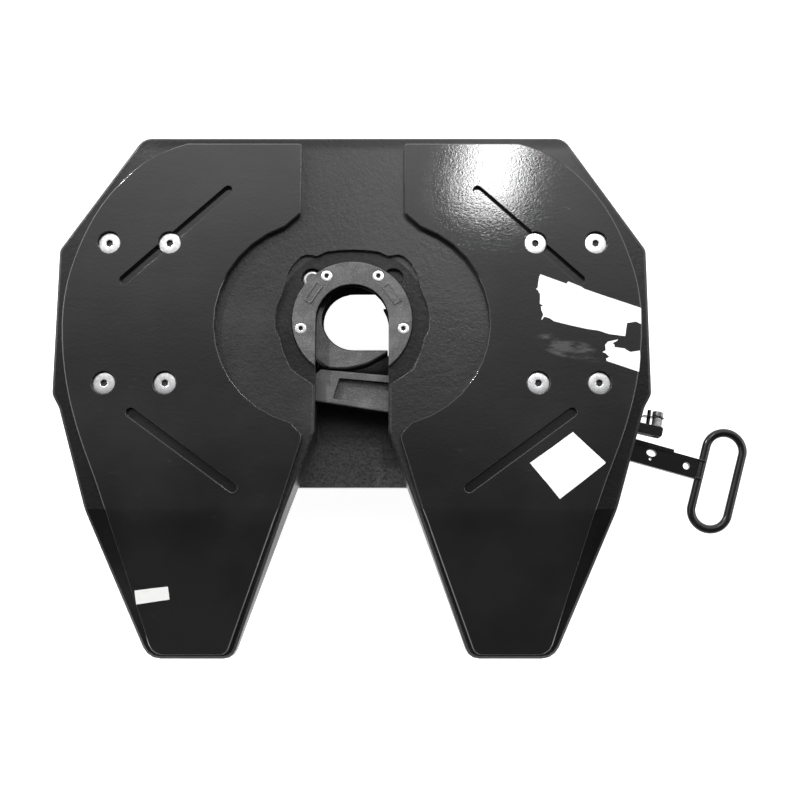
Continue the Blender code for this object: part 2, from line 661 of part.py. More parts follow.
def make_top_plate():
    plate = prism("top_plate", whole_plate(), SKIRT_BOTTOM, CASTING_TOP)
    soften_top(plate, EDGE_ROUND, 1, CASTING_TOP)
    fall_along_ramp(plate, SKIRT_BOTTOM + 20)
    cut(plate, underside_hollow(1), underside_hollow(-1))

    # Deeper throat walls and the web that joins them under the throat
    web_low = SKIRT_BOTTOM - WEB_DROP
    flare = (LEG_INNER_AT_RAMP - THROAT_HALF) / (THROAT_MOUTH - RAMP_START)
    near = THROAT_HALF + GAP
    wide = near + (THROAT_MOUTH - WEB_REAR) * flare
    out = near + HOUSING_WALL
    front = WEB_FRONT + 4
    far = wide + HOUSING_WALL
    cradle = [(out, front), (-out, front), (-out, THROAT_MOUTH - 1), (-far, WEB_REAR)]
    cradle += [(far, WEB_REAR), (out, THROAT_MOUTH - 1)]
    front = WEB_FRONT + 12
    past = WEB_REAR - 20
    trough = [(near, front), (-near, front), (-near, THROAT_MOUTH), (-wide - 7, past)]
    trough += [(wide + 7, past), (near, THROAT_MOUTH)]
    channel = prism("channel", cradle, web_low, DECK_BOTTOM + 4)
    cut(channel, prism("trough", trough, web_low + WEB_THICKNESS, CASTING_TOP + 20))
    add(plate, channel)
    side = HOUSING_REAR + 2
    trim = [(-200, side), (-out - 1, side), (-out - 1, WEB_FRONT), (out + 1, WEB_FRONT)]
    trim += [(out + 1, side), (200, side), (200, 140), (-200, 140)]
    cut(plate, prism("trim", trim, SKIRT_BOTTOM - 80, HOUSING_BOTTOM))

    # Lug that carries the stop screw, cast on the outside of the skirt
    lug_middle = Vector(STOP_AXIS)
    lug = [lug_middle + STOP_WAY * u * LUG_LENGTH / 2 + Vector((STOP_WAY.y, -STOP_WAY.x)) * v
           for u, v in ((-1, LUG_OUT), (1, LUG_OUT), (1, -LUG_ROOT), (-1, -LUG_ROOT))]
    lug = fillet([(p.x, p.y, 3 if i < 2 else 0) for i, p in enumerate(lug)], 2)
    add(plate, prism("lug", lug, STOP_HEIGHT - 10, STOP_HEIGHT + 10))

    # Peg for the return spring, under the deck
    anchor = along_bar(SPRING_ANCHOR, SPRING_OFFSET)
    add(plate, cylinder("peg", anchor, PEG_RADIUS, SPRING_HEIGHT - 6, DECK_BOTTOM + 3, 16))

    # Seat of the wear ring, the rough hollow around it and the lock's space
    cut(
        plate,
        prism("recess", recess_outline(), CASTING_TOP - RECESS_DEPTH, CASTING_TOP + 5),
        cylinder("seat", (0, 0), RING_RADIUS + 1, RING_BOTTOM - GAP, CASTING_TOP + 6, 48),
        prism("cavity", cavity_outline(), CAVITY_FLOOR, CAVITY_TOP),
        prism("opening", floor_opening(), HOUSING_BOTTOM - 20, CAVITY_FLOOR + 1),
    )

    # Windows in the throat walls, and the ways that the bar, its spring and the handle take through
    # the ribs. Each follows the line that the piece draws as it slides
    c = WINDOW_CLEARANCE
    one, two = CAVITY_WINDOW, THROAT_HALF + GAP + HOUSING_WALL + 9
    right = [(one, bar_rear(one) - c), (two, bar_rear(two) - c)]
    right += [(two, bar_front(two) + c), (one, bar_front(one) + c)]
    one, two = -CAVITY_WINDOW - 50, -CAVITY_WINDOW
    left = [(one, bar_rear(one) - c), (two, bar_rear(two) - c)]
    left += [(two, CAVITY_REAR + 18), (one, CAVITY_REAR + 18)]
    front = (bar_front(BAR_WEDGE_END) - bar_middle(BAR_WEDGE_END)) * SLIDE_WAY.x + c
    rear = SPRING_OFFSET - SPRING_RADIUS - SPRING_WIRE - WINDOW_ROOM
    one, two = LOCK_RIB_X - RIB_THICKNESS, LOCK_RIB_X + RIB_THICKNESS
    tail = [(one, slide_line(one, rear)), (two, slide_line(two, rear))]
    tail += [(two, slide_line(two, front)), (one, slide_line(one, front))]
    rear = SPRING_OFFSET - EAR_MARGIN - WINDOW_ROOM
    one, two = INNER_RIB_X - RIB_THICKNESS, INNER_RIB_X + RIB_THICKNESS
    swung = swung_handle(one - HANDLE_PIVOT.x, HANDLE_WIDTH / 2).y + WINDOW_ROOM
    notch = [(one, slide_line(one, rear)), (two, slide_line(two, rear)), (two, swung), (one, swung)]
    outside = PLATE_HALF_WIDTH - HANDLE_PIVOT.x
    slot_front = swung_handle(CATCH_START, HANDLE_WIDTH / 2 + GAP + CATCH_PROUD).y + SLOT_ROOM
    slot_rear = along_handle(outside / HANDLE_WAY.x, 0).y - HANDLE_WIDTH / 2 / HANDLE_WAY.x - SLOT_ROOM
    handle_low = HANDLE_TOP - HANDLE_THICKNESS
    cut(
        plate,
        prism("window", right, CAVITY_FLOOR, BAR_TOP + c),
        prism("window", left, CAVITY_FLOOR, BAR_TOP + c),
        prism("window", tail, CAVITY_FLOOR - 2, BAR_TOP + 2),
        prism("notch", notch, SKIRT_BOTTOM - 5, WASHER_TOP + 1.2),
        box("slot", skirt_side(slot_rear) - 2 * SKIRT_THICKNESS, PLATE_HALF_WIDTH + 10,
            slot_rear, slot_front, handle_low - SLOT_HEADROOM, HANDLE_TOP + SLOT_HEADROOM),
    )

    # Holes: jaw pin, the two round pockets, ring screws and the stop screw with its guide pin
    mirror_pocket = (-JAW_PIVOT[0], JAW_PIVOT[1])
    cut(
        plate,
        cylinder("bore", JAW_PIVOT, JAW_PIN_RADIUS + GAP, HOUSING_BOTTOM - 5, CASTING_TOP, 32),
        cylinder("pocket", JAW_PIVOT, POCKET_RADIUS, CAVITY_TOP + 4, CASTING_TOP + 5, 32),
        cylinder("pocket", mirror_pocket, POCKET_RADIUS, CAVITY_TOP + 4, CASTING_TOP + 5, 32),
    )
    for angle in RING_BOLT_ANGLES:
        centre = arc((0, 0), RING_BOLT_CIRCLE, angle, angle, 1)[0]
        cut(plate, cylinder("thread", centre, 6 + GAP, CAVITY_TOP - 1, RING_BOTTOM, 16))
    for side in (1, -1):
        for centre in SCREW_PLACES:
            cut(plate, countersink(centre, side))
        room = BRACKET_WIDTH / 2 + SIDE_CLEARANCE
        x0, x1 = sorted((side * (BRACKET_X - room), side * (BRACKET_X + room)))
        cut(plate, across_cylinder("bearing", 0, PITCH_HEIGHT, BEARING_RADIUS, x0, x1))
        for y in (-STRAP_BOLT_Y, STRAP_BOLT_Y):
            cut(plate, cylinder("thread", (side * BRACKET_X, y), STRAP_BOLT_RADIUS + GAP,
                                SKIRT_BOTTOM - 40, STRAP_BOLT_REACH + 2))
    for centre in keeper_centres():
        cut(plate, cylinder("thread", centre, 4 + GAP, HOUSING_BOTTOM - 5, HOUSING_BOTTOM + 10.5, 12))
    cut(plate, along_stop("thread", 0, STOP_SCREW_RADIUS + GAP, -30, 30, 16))
    cut(plate, along_stop("guide", STOP_GUIDE_OFFSET, STOP_GUIDE_RADIUS + GAP, -6, 30, 12))
    return plate


def along_stop(name, offset, radius, start, end, sides, height=STOP_HEIGHT):
    """Round body along the stop screw's axis, moved sideways by an offset."""
    made = cylinder(name, (0, 0), radius, start, end, sides)
    return lay_along_stop(made, offset, height)


def lay_along_stop(piece, offset, height=STOP_HEIGHT):
    side = Vector((STOP_WAY.y, -STOP_WAY.x))
    place = Vector(STOP_AXIS) + side * offset
    columns = ((side.x, 0, STOP_WAY.x, place.x * MM), (side.y, 0, STOP_WAY.y, place.y * MM),
               (0, -1, 0, height * MM), (0, 0, 0, 1))
    return moved_by(piece, Matrix(columns))


def smooth(points, steps):
    """Smooth line through the given points, without the two outer guide points."""
    found = []
    for a, b, c, d in zip(points, points[1:], points[2:], points[3:]):
        for k in range(steps):
            t = k / steps
            one = Vector(a) * (-t + 2 * t * t - t ** 3)
            two = Vector(b) * (2 - 5 * t * t + 3 * t ** 3)
            three = Vector(c) * (t + 4 * t * t - 3 * t ** 3)
            four = Vector(d) * (t ** 3 - t * t)
            spot = (one + two + three + four) / 2
            found.append((spot.x, spot.y))
    return found


def liner_outline():
    """Outline of the right-hand liner, counter-clockwise."""
    wide = PLATE_HALF_WIDTH
    front = PLATE_FRONT - LINER_FRONT_MARGIN
    rear = PLATE_REAR + 6
    side = smooth([
        (LEG_OUTER_AT_REAR - 9, rear), (LEG_OUTER_AT_RAMP - 34, RAMP_START), (wide - 46, -181),
        (wide - 21, -86), (wide - 13.5, 14), (wide - 28, 99), (wide - 68, front - 106),
        (wide - 133, front - 34), (wide - 205, front), (wide - 260, front + 2),
    ], 4)
    inner = LINER_INNER
    corners = [(inner, front, 5), (inner, 176, 14)]
    corners += [(x, y, 0) for x, y in arc(LINER_BOW_CENTRE, LINER_BOW_RADIUS, 70, -75, 14)]
    corners += [
        (inner - 8, -190, 14),
        (LEG_INNER_AT_RAMP + LINER_LEG_MARGIN, RAMP_START, 60),
        (LEG_INNER_AT_REAR + LINER_LEG_MARGIN, rear, 14),
        (LEG_OUTER_AT_REAR - 9, rear, 22),
    ]
    corners += [(x, y, 0) for x, y in side]
    corners.append((wide - 205, front, 0))
    return fillet(corners)


def make_liner(side):
    outline = liner_outline()
    if side < 0:
        outline = mirrored(outline)
    liner = prism("liner_right" if side > 0 else "liner_left", outline, LINER_BOTTOM, LINER_TOP)
    soften_top(liner, 1.6, 1, LINER_TOP)
    fall_along_ramp(liner, LINER_BOTTOM - 1)
    for centre in SCREW_PLACES:
        cut(liner, countersink(centre, side))
    for start, end in GROOVES:
        outline = slot_outline((side * start[0], start[1]), (side * end[0], end[1]), GROOVE_WIDTH)
        cut(liner, prism("groove", outline, LINER_TOP - GROOVE_DEPTH, LINER_TOP + 2))
    return liner


def make_liner_screws():
    seat = LINER_TOP - SCREW_SINK
    cone = SCREW_HEAD_RADIUS - SCREW_SHANK_RADIUS
    made = []
    for side in (1, -1):
        for x, y in SCREW_PLACES:
            centre = (side * x, y)
            profile = [(SCREW_SHANK_RADIUS, seat - SCREW_LENGTH), (SCREW_SHANK_RADIUS, seat - cone),
                       (SCREW_HEAD_RADIUS - GAP, seat - GAP), (SCREW_HEAD_RADIUS - GAP, seat)]
            body = turned("screw", centre, profile)
            made.append(cut(body, prism("socket", hexagon(centre, SCREW_SOCKET), seat - 6, seat + 1)))
    return numbered("liner_screw", made)


def ring_bolt_centres():
    return [arc((0, 0), RING_BOLT_CIRCLE, angle, angle, 1)[0] for angle in RING_BOLT_ANGLES]


def make_wear_ring():
    inner = THROAT_HALF + GAP
    reach = math.degrees(math.acos(inner / RING_RADIUS))
    outline = arc((0, 0), RING_RADIUS, -reach, 180 + reach, 32) + arc((0, 0), inner, 180, 0, 16)
    ring = prism("wear_ring", outline, RING_BOTTOM, RING_TOP)
    soften_top(ring, 0.8, 1, RING_TOP)
    for centre in ring_bolt_centres():
        cut(ring, cylinder("head", centre, RING_SCREW_HEAD + 0.6, RING_TOP - 6.6, RING_TOP + 1))
        cut(ring, cylinder("bore", centre, RING_SCREW_SHANK + GAP, RING_BOTTOM - 1, RING_TOP - 5, 16))
    return ring


def make_wear_ring_screws():
    made = []
    top = RING_TOP - GAP
    for centre in ring_bolt_centres():
        made.append(screw("screw", centre, RING_SCREW_HEAD, 6, RING_SCREW_SHANK, top, CAVITY_TOP + 1, 8))
    return numbered("wear_ring_screw", made)


def jaw_outline():
    start = math.degrees(math.acos(JAW_UPPER_REACH / JAW_OUTER))
    back = 180 + math.degrees(math.asin(-JAW_BACK / JAW_OUTER))
    x, y = JAW_MOUTH_CENTRE
    corners = [(JAW_UPPER_REACH, y + JAW_MOUTH, 3)]
    corners += [(u, v, 0) for u, v in arc((0, 0), JAW_OUTER, start, 96, 6)]
    corners += [(u, v, 0) for u, v in arc(JAW_PIVOT, JAW_BOSS, 75, 195, 10)]
    corners += [(u, v, 0) for u, v in arc((0, 0), JAW_OUTER, 186, back, 8)]
    corners += [
        (JAW_BACK_CORNER, JAW_BACK, 20),
        (*JAW_BACK_BEND, 60),
        (JAW_LOWER_REACH, JAW_TIP_BACK, 1.5),
        (JAW_LOWER_REACH, y - JAW_MOUTH, 1.5),
    ]
    corners += [(u, v, 0) for u, v in arc(JAW_MOUTH_CENTRE, JAW_MOUTH, 270, 90, 24)]
    return fillet(corners)


def make_lock_jaw():
    jaw = prism("lock_jaw", jaw_outline(), JAW_BOTTOM, JAW_BOTTOM + JAW_THICKNESS)
    soften_top(jaw, 2, 1, JAW_BOTTOM + JAW_THICKNESS)
    bore = JAW_PIN_RADIUS + GAP + JAW_BUSH_WALL + GAP
    return cut(jaw, cylinder("bore", JAW_PIVOT, bore, JAW_BOTTOM - 1, JAW_BOTTOM + JAW_THICKNESS + 1, 32))


def make_jaw_bush():
    inner = JAW_PIN_RADIUS + GAP
    bush = cylinder("jaw_bush", JAW_PIVOT, inner + JAW_BUSH_WALL, JAW_BOTTOM, JAW_BOTTOM + JAW_THICKNESS, 32)
    return cut(bush, cylinder("bore", JAW_PIVOT, inner, JAW_BOTTOM - 1, CASTING_TOP, 32))


def make_jaw_pivot_pin():
    top = RING_BOTTOM - 1.3
    r = JAW_PIN_RADIUS
    return turned("jaw_pivot_pin", JAW_PIVOT, [(r, HOUSING_BOTTOM), (r, top - 2), (r - 2, top)], 32)


def keeper_centres():
    return [(JAW_PIVOT[0] + x, JAW_PIVOT[1] + y) for x, y in KEEPER_SCREWS]


def make_jaw_pin_keeper():
    """Plate under the jaw's pin, held by two screws, that stops it from dropping out."""
    top = HOUSING_BOTTOM - GAP
    x, y = JAW_PIVOT
    outline = fillet([(x - 38, y - 10, 9), (x + 12, y - 14, 9), (x + 12, y + 38, 9), (x - 14, y + 38, 9)])
    keeper = prism("jaw_pin_keeper", outline, top - KEEPER_THICKNESS, top)
    for centre in keeper_centres():
        cut(keeper, cylinder("bore", centre, 4 + GAP, top - 20, top + 1, 12))
    return keeper


def make_keeper_screws():
    made = []
    under = HOUSING_BOTTOM - GAP - KEEPER_THICKNESS - GAP
    for centre in keeper_centres():
        body = turned("screw", centre, [(4, under - 1), (4, HOUSING_BOTTOM + 9)], 16)
        made.append(add(body, prism("head", hexagon(centre, 13), under - 5.5, under)))
    return numbered("keeper_screw", made)


def make_lock_bar():
    taper = BAR_TIP_TAPER_FROM - BAR_TIP
    end = BAR_WEDGE_END
    tip_front = bar_front(BAR_TIP_TAPER_FROM) - taper
    tail_from = end - 6
    far = HANDLE_PIVOT.x + 20
    half = BAR_TAIL_HALF_WIDTH
    outline = fillet([
        (BAR_TIP, bar_rear(BAR_TIP), 5),
        (end, bar_rear(end), 8),
        (end + 14, bar_middle(end + 14) - half, 8),
        (far, bar_middle(far) - half, 12),
        (far, bar_middle(far) + half, 12),
        (end + 18, bar_middle(end + 18) + half, 8),
        (end, bar_front(end), 8),
        (BAR_TIP_TAPER_FROM, bar_front(BAR_TIP_TAPER_FROM), 4),
        (BAR_TIP, tip_front, 5),
    ])
    bar = prism("lock_bar", outline, JAW_BOTTOM, BAR_TOP)
    soften_top(bar, 1.5, 1, BAR_TOP)

    # Hollow in the top of the wedge
    lip = BAR_POCKET_INSET
    hollow = fillet([
        (-31, bar_rear(-31) + BAR_POCKET_REAR, 3), (tail_from, bar_rear(tail_from) + BAR_POCKET_REAR, 6),
        (tail_from, bar_front(tail_from) - lip, 6), (-21, bar_front(-21) - lip, 3),
    ])
    cut(bar, prism("hollow", hollow, BAR_TOP - BAR_POCKET_DEPTH, BAR_TOP + 1))

    # Ear for the return spring, with its peg, and the bore for the handle's pin
    near = 6 - half
    ear = [along_bar(SPRING_PEG + u, v) for u, v in (
        (-16, near), (-9, SPRING_OFFSET - EAR_MARGIN), (9, SPRING_OFFSET - EAR_MARGIN), (12, near))]
    corners = [(p.x, p.y, 5 if 0 < i < 3 else 0) for i, p in enumerate(ear)]
    add(bar, prism("ear", fillet(corners, 3), BAR_TOP - 10, BAR_TOP - 2))
    peg = along_bar(SPRING_PEG, SPRING_OFFSET)
    add(bar, cylinder("peg", peg, PEG_RADIUS, SPRING_HEIGHT - 6, BAR_TOP - 6, 16))
    bore = HANDLE_PIN_RADIUS + GAP
    return cut(bar, cylinder("bore", HANDLE_PIVOT, bore, JAW_BOTTOM - 1, BAR_TOP + 1, 24))


def make_handle_pivot_pin():
    r = HANDLE_PIN_RADIUS
    low = HANDLE_TOP - HANDLE_THICKNESS - GAP
    wide = r + HANDLE_PIN_FLANGE
    profile = [(wide, low - HANDLE_PIN_FOOT), (wide, low), (r, low), (r, BAR_TOP + GAP)]
    return turned("handle_pivot_pin", HANDLE_PIVOT, profile)


def make_handle_pin_washer():
    wide = HANDLE_PIN_RADIUS + HANDLE_PIN_FLANGE
    return cylinder("handle_pin_washer", HANDLE_PIVOT, wide, WASHER_TOP - HANDLE_WASHER, WASHER_TOP)


def loop_path(steps):
    """Centre line of the round-ended hand loop."""
    one = LOOP_CENTRE + LOOP_LINE * LOOP_SPACING / 2
    two = LOOP_CENTRE - LOOP_LINE * LOOP_SPACING / 2
    turn = math.degrees(math.atan2(LOOP_LINE.y, LOOP_LINE.x))
    upper = arc(one, LOOP_RADIUS, turn - 90, turn + 90, steps)
    return upper + arc(two, LOOP_RADIUS, turn + 90, turn + 270, steps)


def ring_tube(name, path, radius, height, sides):
    """Round rod bent into a closed loop that lies level."""
    mesh = bmesh.new()
    count = len(path)
    rings = []
    for i, (x, y) in enumerate(path):
        here = Vector((x, y))
        before = (here - Vector(path[i - 1])).normalized()
        after = (Vector(path[(i + 1) % count]) - here).normalized()
        way = (before + after).normalized()
        out = Vector((way.y, -way.x)) / max(0.5, way.dot(after))
        ring = []
        for k in range(sides):
            angle = 2 * math.pi * (k + 0.5) / sides
            spot = here + out * radius * math.cos(angle)
            ring.append(mesh.verts.new((spot.x * MM, spot.y * MM, (height + radius * math.sin(angle)) * MM)))
        rings.append(ring)
    for i in range(count):
        one = rings[i]
        two = rings[(i + 1) % count]
        for k in range(sides):
            n = (k + 1) % sides
            mesh.faces.new((one[k], one[n], two[n], two[k]))
    return to_object(mesh, name)


def make_release_handle():
    """Flat bar with a boss at its pivot and a bent rod loop welded to its end."""
    half = HANDLE_WIDTH / 2
    low = HANDLE_TOP - HANDLE_THICKNESS
    middle = (low + HANDLE_TOP) / 2
    reach = math.sqrt(HANDLE_BOSS ** 2 - half ** 2)
    spread = math.degrees(math.asin(half / HANDLE_BOSS))
    end = HANDLE_LENGTH + 1
    outline = [tuple(along_handle(d, o)) for d, o in ((end, -half), (end, half), (reach, half))]
    outline += arc(HANDLE_PIVOT, HANDLE_BOSS, HANDLE_ANGLE + spread, HANDLE_ANGLE + 360 - spread, 20)[1:]
    handle = prism("release_handle", outline, low, HANDLE_TOP)
    soften_top(handle, 1, 1, HANDLE_TOP)
    eye = along_handle(HANDLE_LENGTH - HANDLE_EYE, 0)
    slot = along_handle(CATCH_START + 13, 5)
    dot = along_handle(CATCH_START + 14, -5)
    slot = slot_outline(slot - HANDLE_WAY * 2.5, slot + HANDLE_WAY * 2.5, 11, 4)
    cut(
        handle,
        cylinder("bore", HANDLE_PIVOT, HANDLE_PIN_RADIUS + GAP, low - 1, HANDLE_TOP + 1, 24),
        cylinder("eye", eye, 5.5, low - 1, HANDLE_TOP + 1, 16),
        prism("slot", slot, low - 1, HANDLE_TOP + 1),
        cylinder("dot", dot, 2, low - 1, HANDLE_TOP + 1, 10),
    )
    return add(handle, ring_tube("loop", loop_path(8), LOOP_ROD, middle, 12))


def make_catch_plate():
    base = HANDLE_WIDTH / 2 + GAP
    top = base + CATCH_PROUD
    low = HANDLE_TOP - HANDLE_THICKNESS + 1
    corners = [along_handle(d, o) for d, o in (
        (CATCH_START, base), (CATCH_END, base), (CATCH_END, top),
        (CATCH_START + 16, top), (CATCH_START, base + 1.5))]
    return prism("catch_plate", [tuple(c) for c in corners], low, HANDLE_TOP)


def make_lock_bar_spring():
    """Tension spring from the casting's peg to the lock bar's, with a hook round each."""
    hook = PEG_RADIUS + SPRING_WIRE + 0.8
    coil_start = SPRING_ANCHOR + SPRING_LEAD
    coil_end = SPRING_PEG - SPRING_LEAD
    points = []

    def at(distance, side, rise):
        spot = along_bar(distance, SPRING_OFFSET + side)
        return Vector((spot.x, spot.y, SPRING_HEIGHT + rise))

    for k in range(9):
        angle = math.radians(-40 - 35 * k)
        points.append(at(SPRING_ANCHOR + hook * math.cos(angle), hook * math.sin(angle), 0))
    points.append(at(coil_start - 6, 0, 0))
    steps = 8
    for k in range(SPRING_TURNS * steps + 1):
        angle = math.radians(90 + 360 * k / steps)
        share = k / (SPRING_TURNS * steps)
        points.append(at(coil_start + (coil_end - coil_start) * share,
                         SPRING_RADIUS * math.cos(angle), SPRING_RADIUS * math.sin(angle)))
    points.append(at(coil_end + 6, 0, 0))
    for k in range(9):
        angle = math.radians(140 - 35 * k)
        points.append(at(SPRING_PEG + hook * math.cos(angle), hook * math.sin(angle), 0))
    curve = bpy.data.curves.new("lock_bar_spring", "CURVE")
    curve.dimensions = "3D"
    curve.bevel_depth = SPRING_WIRE * MM
    curve.bevel_resolution = 1
    curve.use_fill_caps = True
    spline = curve.splines.new("POLY")
    spline.points.add(len(points) - 1)
    for point, place in zip(spline.points, points):
        point.co = (*(place * MM), 1)
    made = bpy.data.objects.new("lock_bar_spring", curve)
    bpy.context.scene.collection.objects.link(made)
    return made


def make_stop_screw():
    start = LUG_LENGTH / 2 + GAP + STOP_NUT + GAP + STOP_PLATE + GAP
    end = start + STOP_HEAD
    body = along_stop("stop_screw", 0, STOP_SCREW_RADIUS, -STOP_TAIL, end + STOP_CROWN, 16)
    head = prism("head", hexagon((0, 0), STOP_HEX_FLATS, 30), start, end)
    return add(body, lay_along_stop(head, 0))


def make_stop_nut():
    start = LUG_LENGTH / 2 + GAP
    nut = prism("stop_nut", hexagon((0, 0), STOP_HEX_FLATS, 30), start, start + STOP_NUT)
    cut(nut, cylinder("bore", (0, 0), STOP_SCREW_RADIUS + GAP, 0, 40, 16))
    return lay_along_stop(nut, 0)


def make_stop_plate():
    start = LUG_LENGTH / 2 + GAP + STOP_NUT + GAP
    outline = fillet([(-20, -10, 5), (15, -10, 5), (15, 10, 5), (-20, 10, 5)])
    plate = prism("stop_plate", outline, start, start + STOP_PLATE)
    cut(plate, cylinder("bore", (0, 0), STOP_SCREW_RADIUS + GAP, 0, 40, 16))
    cut(plate, cylinder("bore", (STOP_GUIDE_OFFSET, 0), STOP_GUIDE_RADIUS + GAP, 0, 40, 12))
    return lay_along_stop(plate, 0)


def make_stop_guide():
    end = LUG_LENGTH / 2 + STOP_NUT + STOP_PLATE + 4
    return along_stop("stop_guide", STOP_GUIDE_OFFSET, STOP_GUIDE_RADIUS, -4, end, 12)


def bracket_profile():
    half = SADDLE_RADIUS
    foot = CHEEK_FOOT_HALF
    low = FOOT_THICKNESS
    return [(-foot, low - 1), (foot, low - 1), (foot, low + 12), (half, PITCH_HEIGHT - 30),
            *arc((0, PITCH_HEIGHT), SADDLE_RADIUS, 0, 180, 20),
            (-half, PITCH_HEIGHT - 30), (-foot, low + 12)]


def make_bracket(side):
    """Foot plate with two cheeks that carry a half-round saddle over an open tunnel."""
    x = side * BRACKET_X
    half = BRACKET_WIDTH / 2
    inner = half - CHEEK_THICKNESS
    x0 = x - FOOT_WIDTH / 2
    x1 = x + FOOT_WIDTH / 2
    end = FOOT_LENGTH / 2
    outline = fillet([(x0, -end, 14), (x1, -end, 14), (x1, end, 14), (x0, end, 14)])
    bracket = prism("bracket_right" if side > 0 else "bracket_left", outline, 0, FOOT_THICKNESS)
    for u in (-1, 1):
        for v in (-1, 1):
            spot = (x + u * FOOT_BOLT_SPACING / 2, v * (end - FOOT_BOLT_EDGE))
            cut(bracket, cylinder("bolt", spot, FOOT_BOLT_RADIUS, -1, FOOT_THICKNESS + 1, 16))
    body = upright(prism("body", bracket_profile(), x - half, x + half))
    bore = SADDLE_RADIUS - SADDLE_WALL
    cut(
        body,
        across_cylinder("arch", 0, PITCH_HEIGHT, bore, x - inner, x + inner),
        box("way", x - inner, x + inner, -150, 150, FOOT_THICKNESS + 20, PITCH_HEIGHT),
    )
    return add(bracket, body)


def make_cushion(side):
    x = side * BRACKET_X
    half = BRACKET_WIDTH / 2
    outer = arc((0, PITCH_HEIGHT), CUSHION_OUTER, CUSHION_ANGLE, 180 - CUSHION_ANGLE, 16)
    inner = arc((0, PITCH_HEIGHT), CUSHION_INNER, 180 - CUSHION_ANGLE, CUSHION_ANGLE, 16)
    name = "cushion_right" if side > 0 else "cushion_left"
    return upright(prism(name, outer + inner, x - half, x + half))


def make_strap(side):
    """Bar through the bracket's tunnel, with a round hump that turns inside the saddle."""
    x = side * BRACKET_X
    half = STRAP_WIDTH / 2
    radius = SADDLE_RADIUS - SADDLE_WALL - GAP - 1
    start = math.degrees(math.asin(-STRAP_DROP / radius))
    end = STRAP_HALF_LENGTH
    hump = arc((0, PITCH_HEIGHT), radius, start, 180 - start, 20)
    outline = [(-end, STRAP_BOTTOM), (end, STRAP_BOTTOM), (end, STRAP_TOP), *hump, (-end, STRAP_TOP)]
    strap = upright(prism("strap_right" if side > 0 else "strap_left", outline, x - half, x + half))
    for y in (-STRAP_BOLT_Y, STRAP_BOLT_Y):
        cut(strap, cylinder("bore", (x, y), STRAP_BOLT_RADIUS + GAP, STRAP_BOTTOM - 1, STRAP_TOP + 1))
    return strap


def strap_bolt_places():
    return [(side * BRACKET_X, y) for side in (1, -1) for y in (-STRAP_BOLT_Y, STRAP_BOLT_Y)]


def make_strap_bolts():
    made = []
    under = STRAP_BOTTOM - GAP - WASHER_THICKNESS - GAP
    for centre in strap_bolt_places():
        body = turned("bolt", centre, [(STRAP_BOLT_RADIUS, under - 2), (STRAP_BOLT_RADIUS, STRAP_BOLT_REACH)])
        head = prism("head", hexagon(centre, STRAP_BOLT_FLATS), under - STRAP_BOLT_HEAD, under)
        made.append(add(body, head))
    return numbered("strap_bolt", made)


def make_strap_washers():
    made = []
    top = STRAP_BOTTOM - GAP
    for centre in strap_bolt_places():
        body = cylinder("washer", centre, 18, top - WASHER_THICKNESS, top)
        made.append(cut(body, cylinder("bore", centre, STRAP_BOLT_RADIUS + GAP, top - 9, top + 1)))
    return numbered("strap_washer", made)


def guide_empty(name, place, parent=None):
    """Empty that marks a joint's axis; its place is given in millimetres from the kingpin axis."""
    made = bpy.data.objects.new(name, None)
    bpy.context.scene.collection.objects.link(made)
    made.parent = parent
    base = Vector(parent["place"]) if parent else Vector((0, 0, 0))
    made.location = (Vector(place) - base) * MM
    made["place"] = list(place)
    return made


def fix_to(piece, empty):
    """Hangs a piece on an empty and moves its origin there."""
    place = Vector(empty["place"]) * MM
    if piece.type == "MESH":
        piece.data.transform(Matrix.Translation(-place))
        piece.data.shade_smooth()
        piece.data.set_sharp_from_angle(angle=math.radians(32))
    else:
        for point in piece.data.splines[0].points:
            point.co = (*(point.co.to_3d() - place), 1)
    piece.parent = empty
    return piece


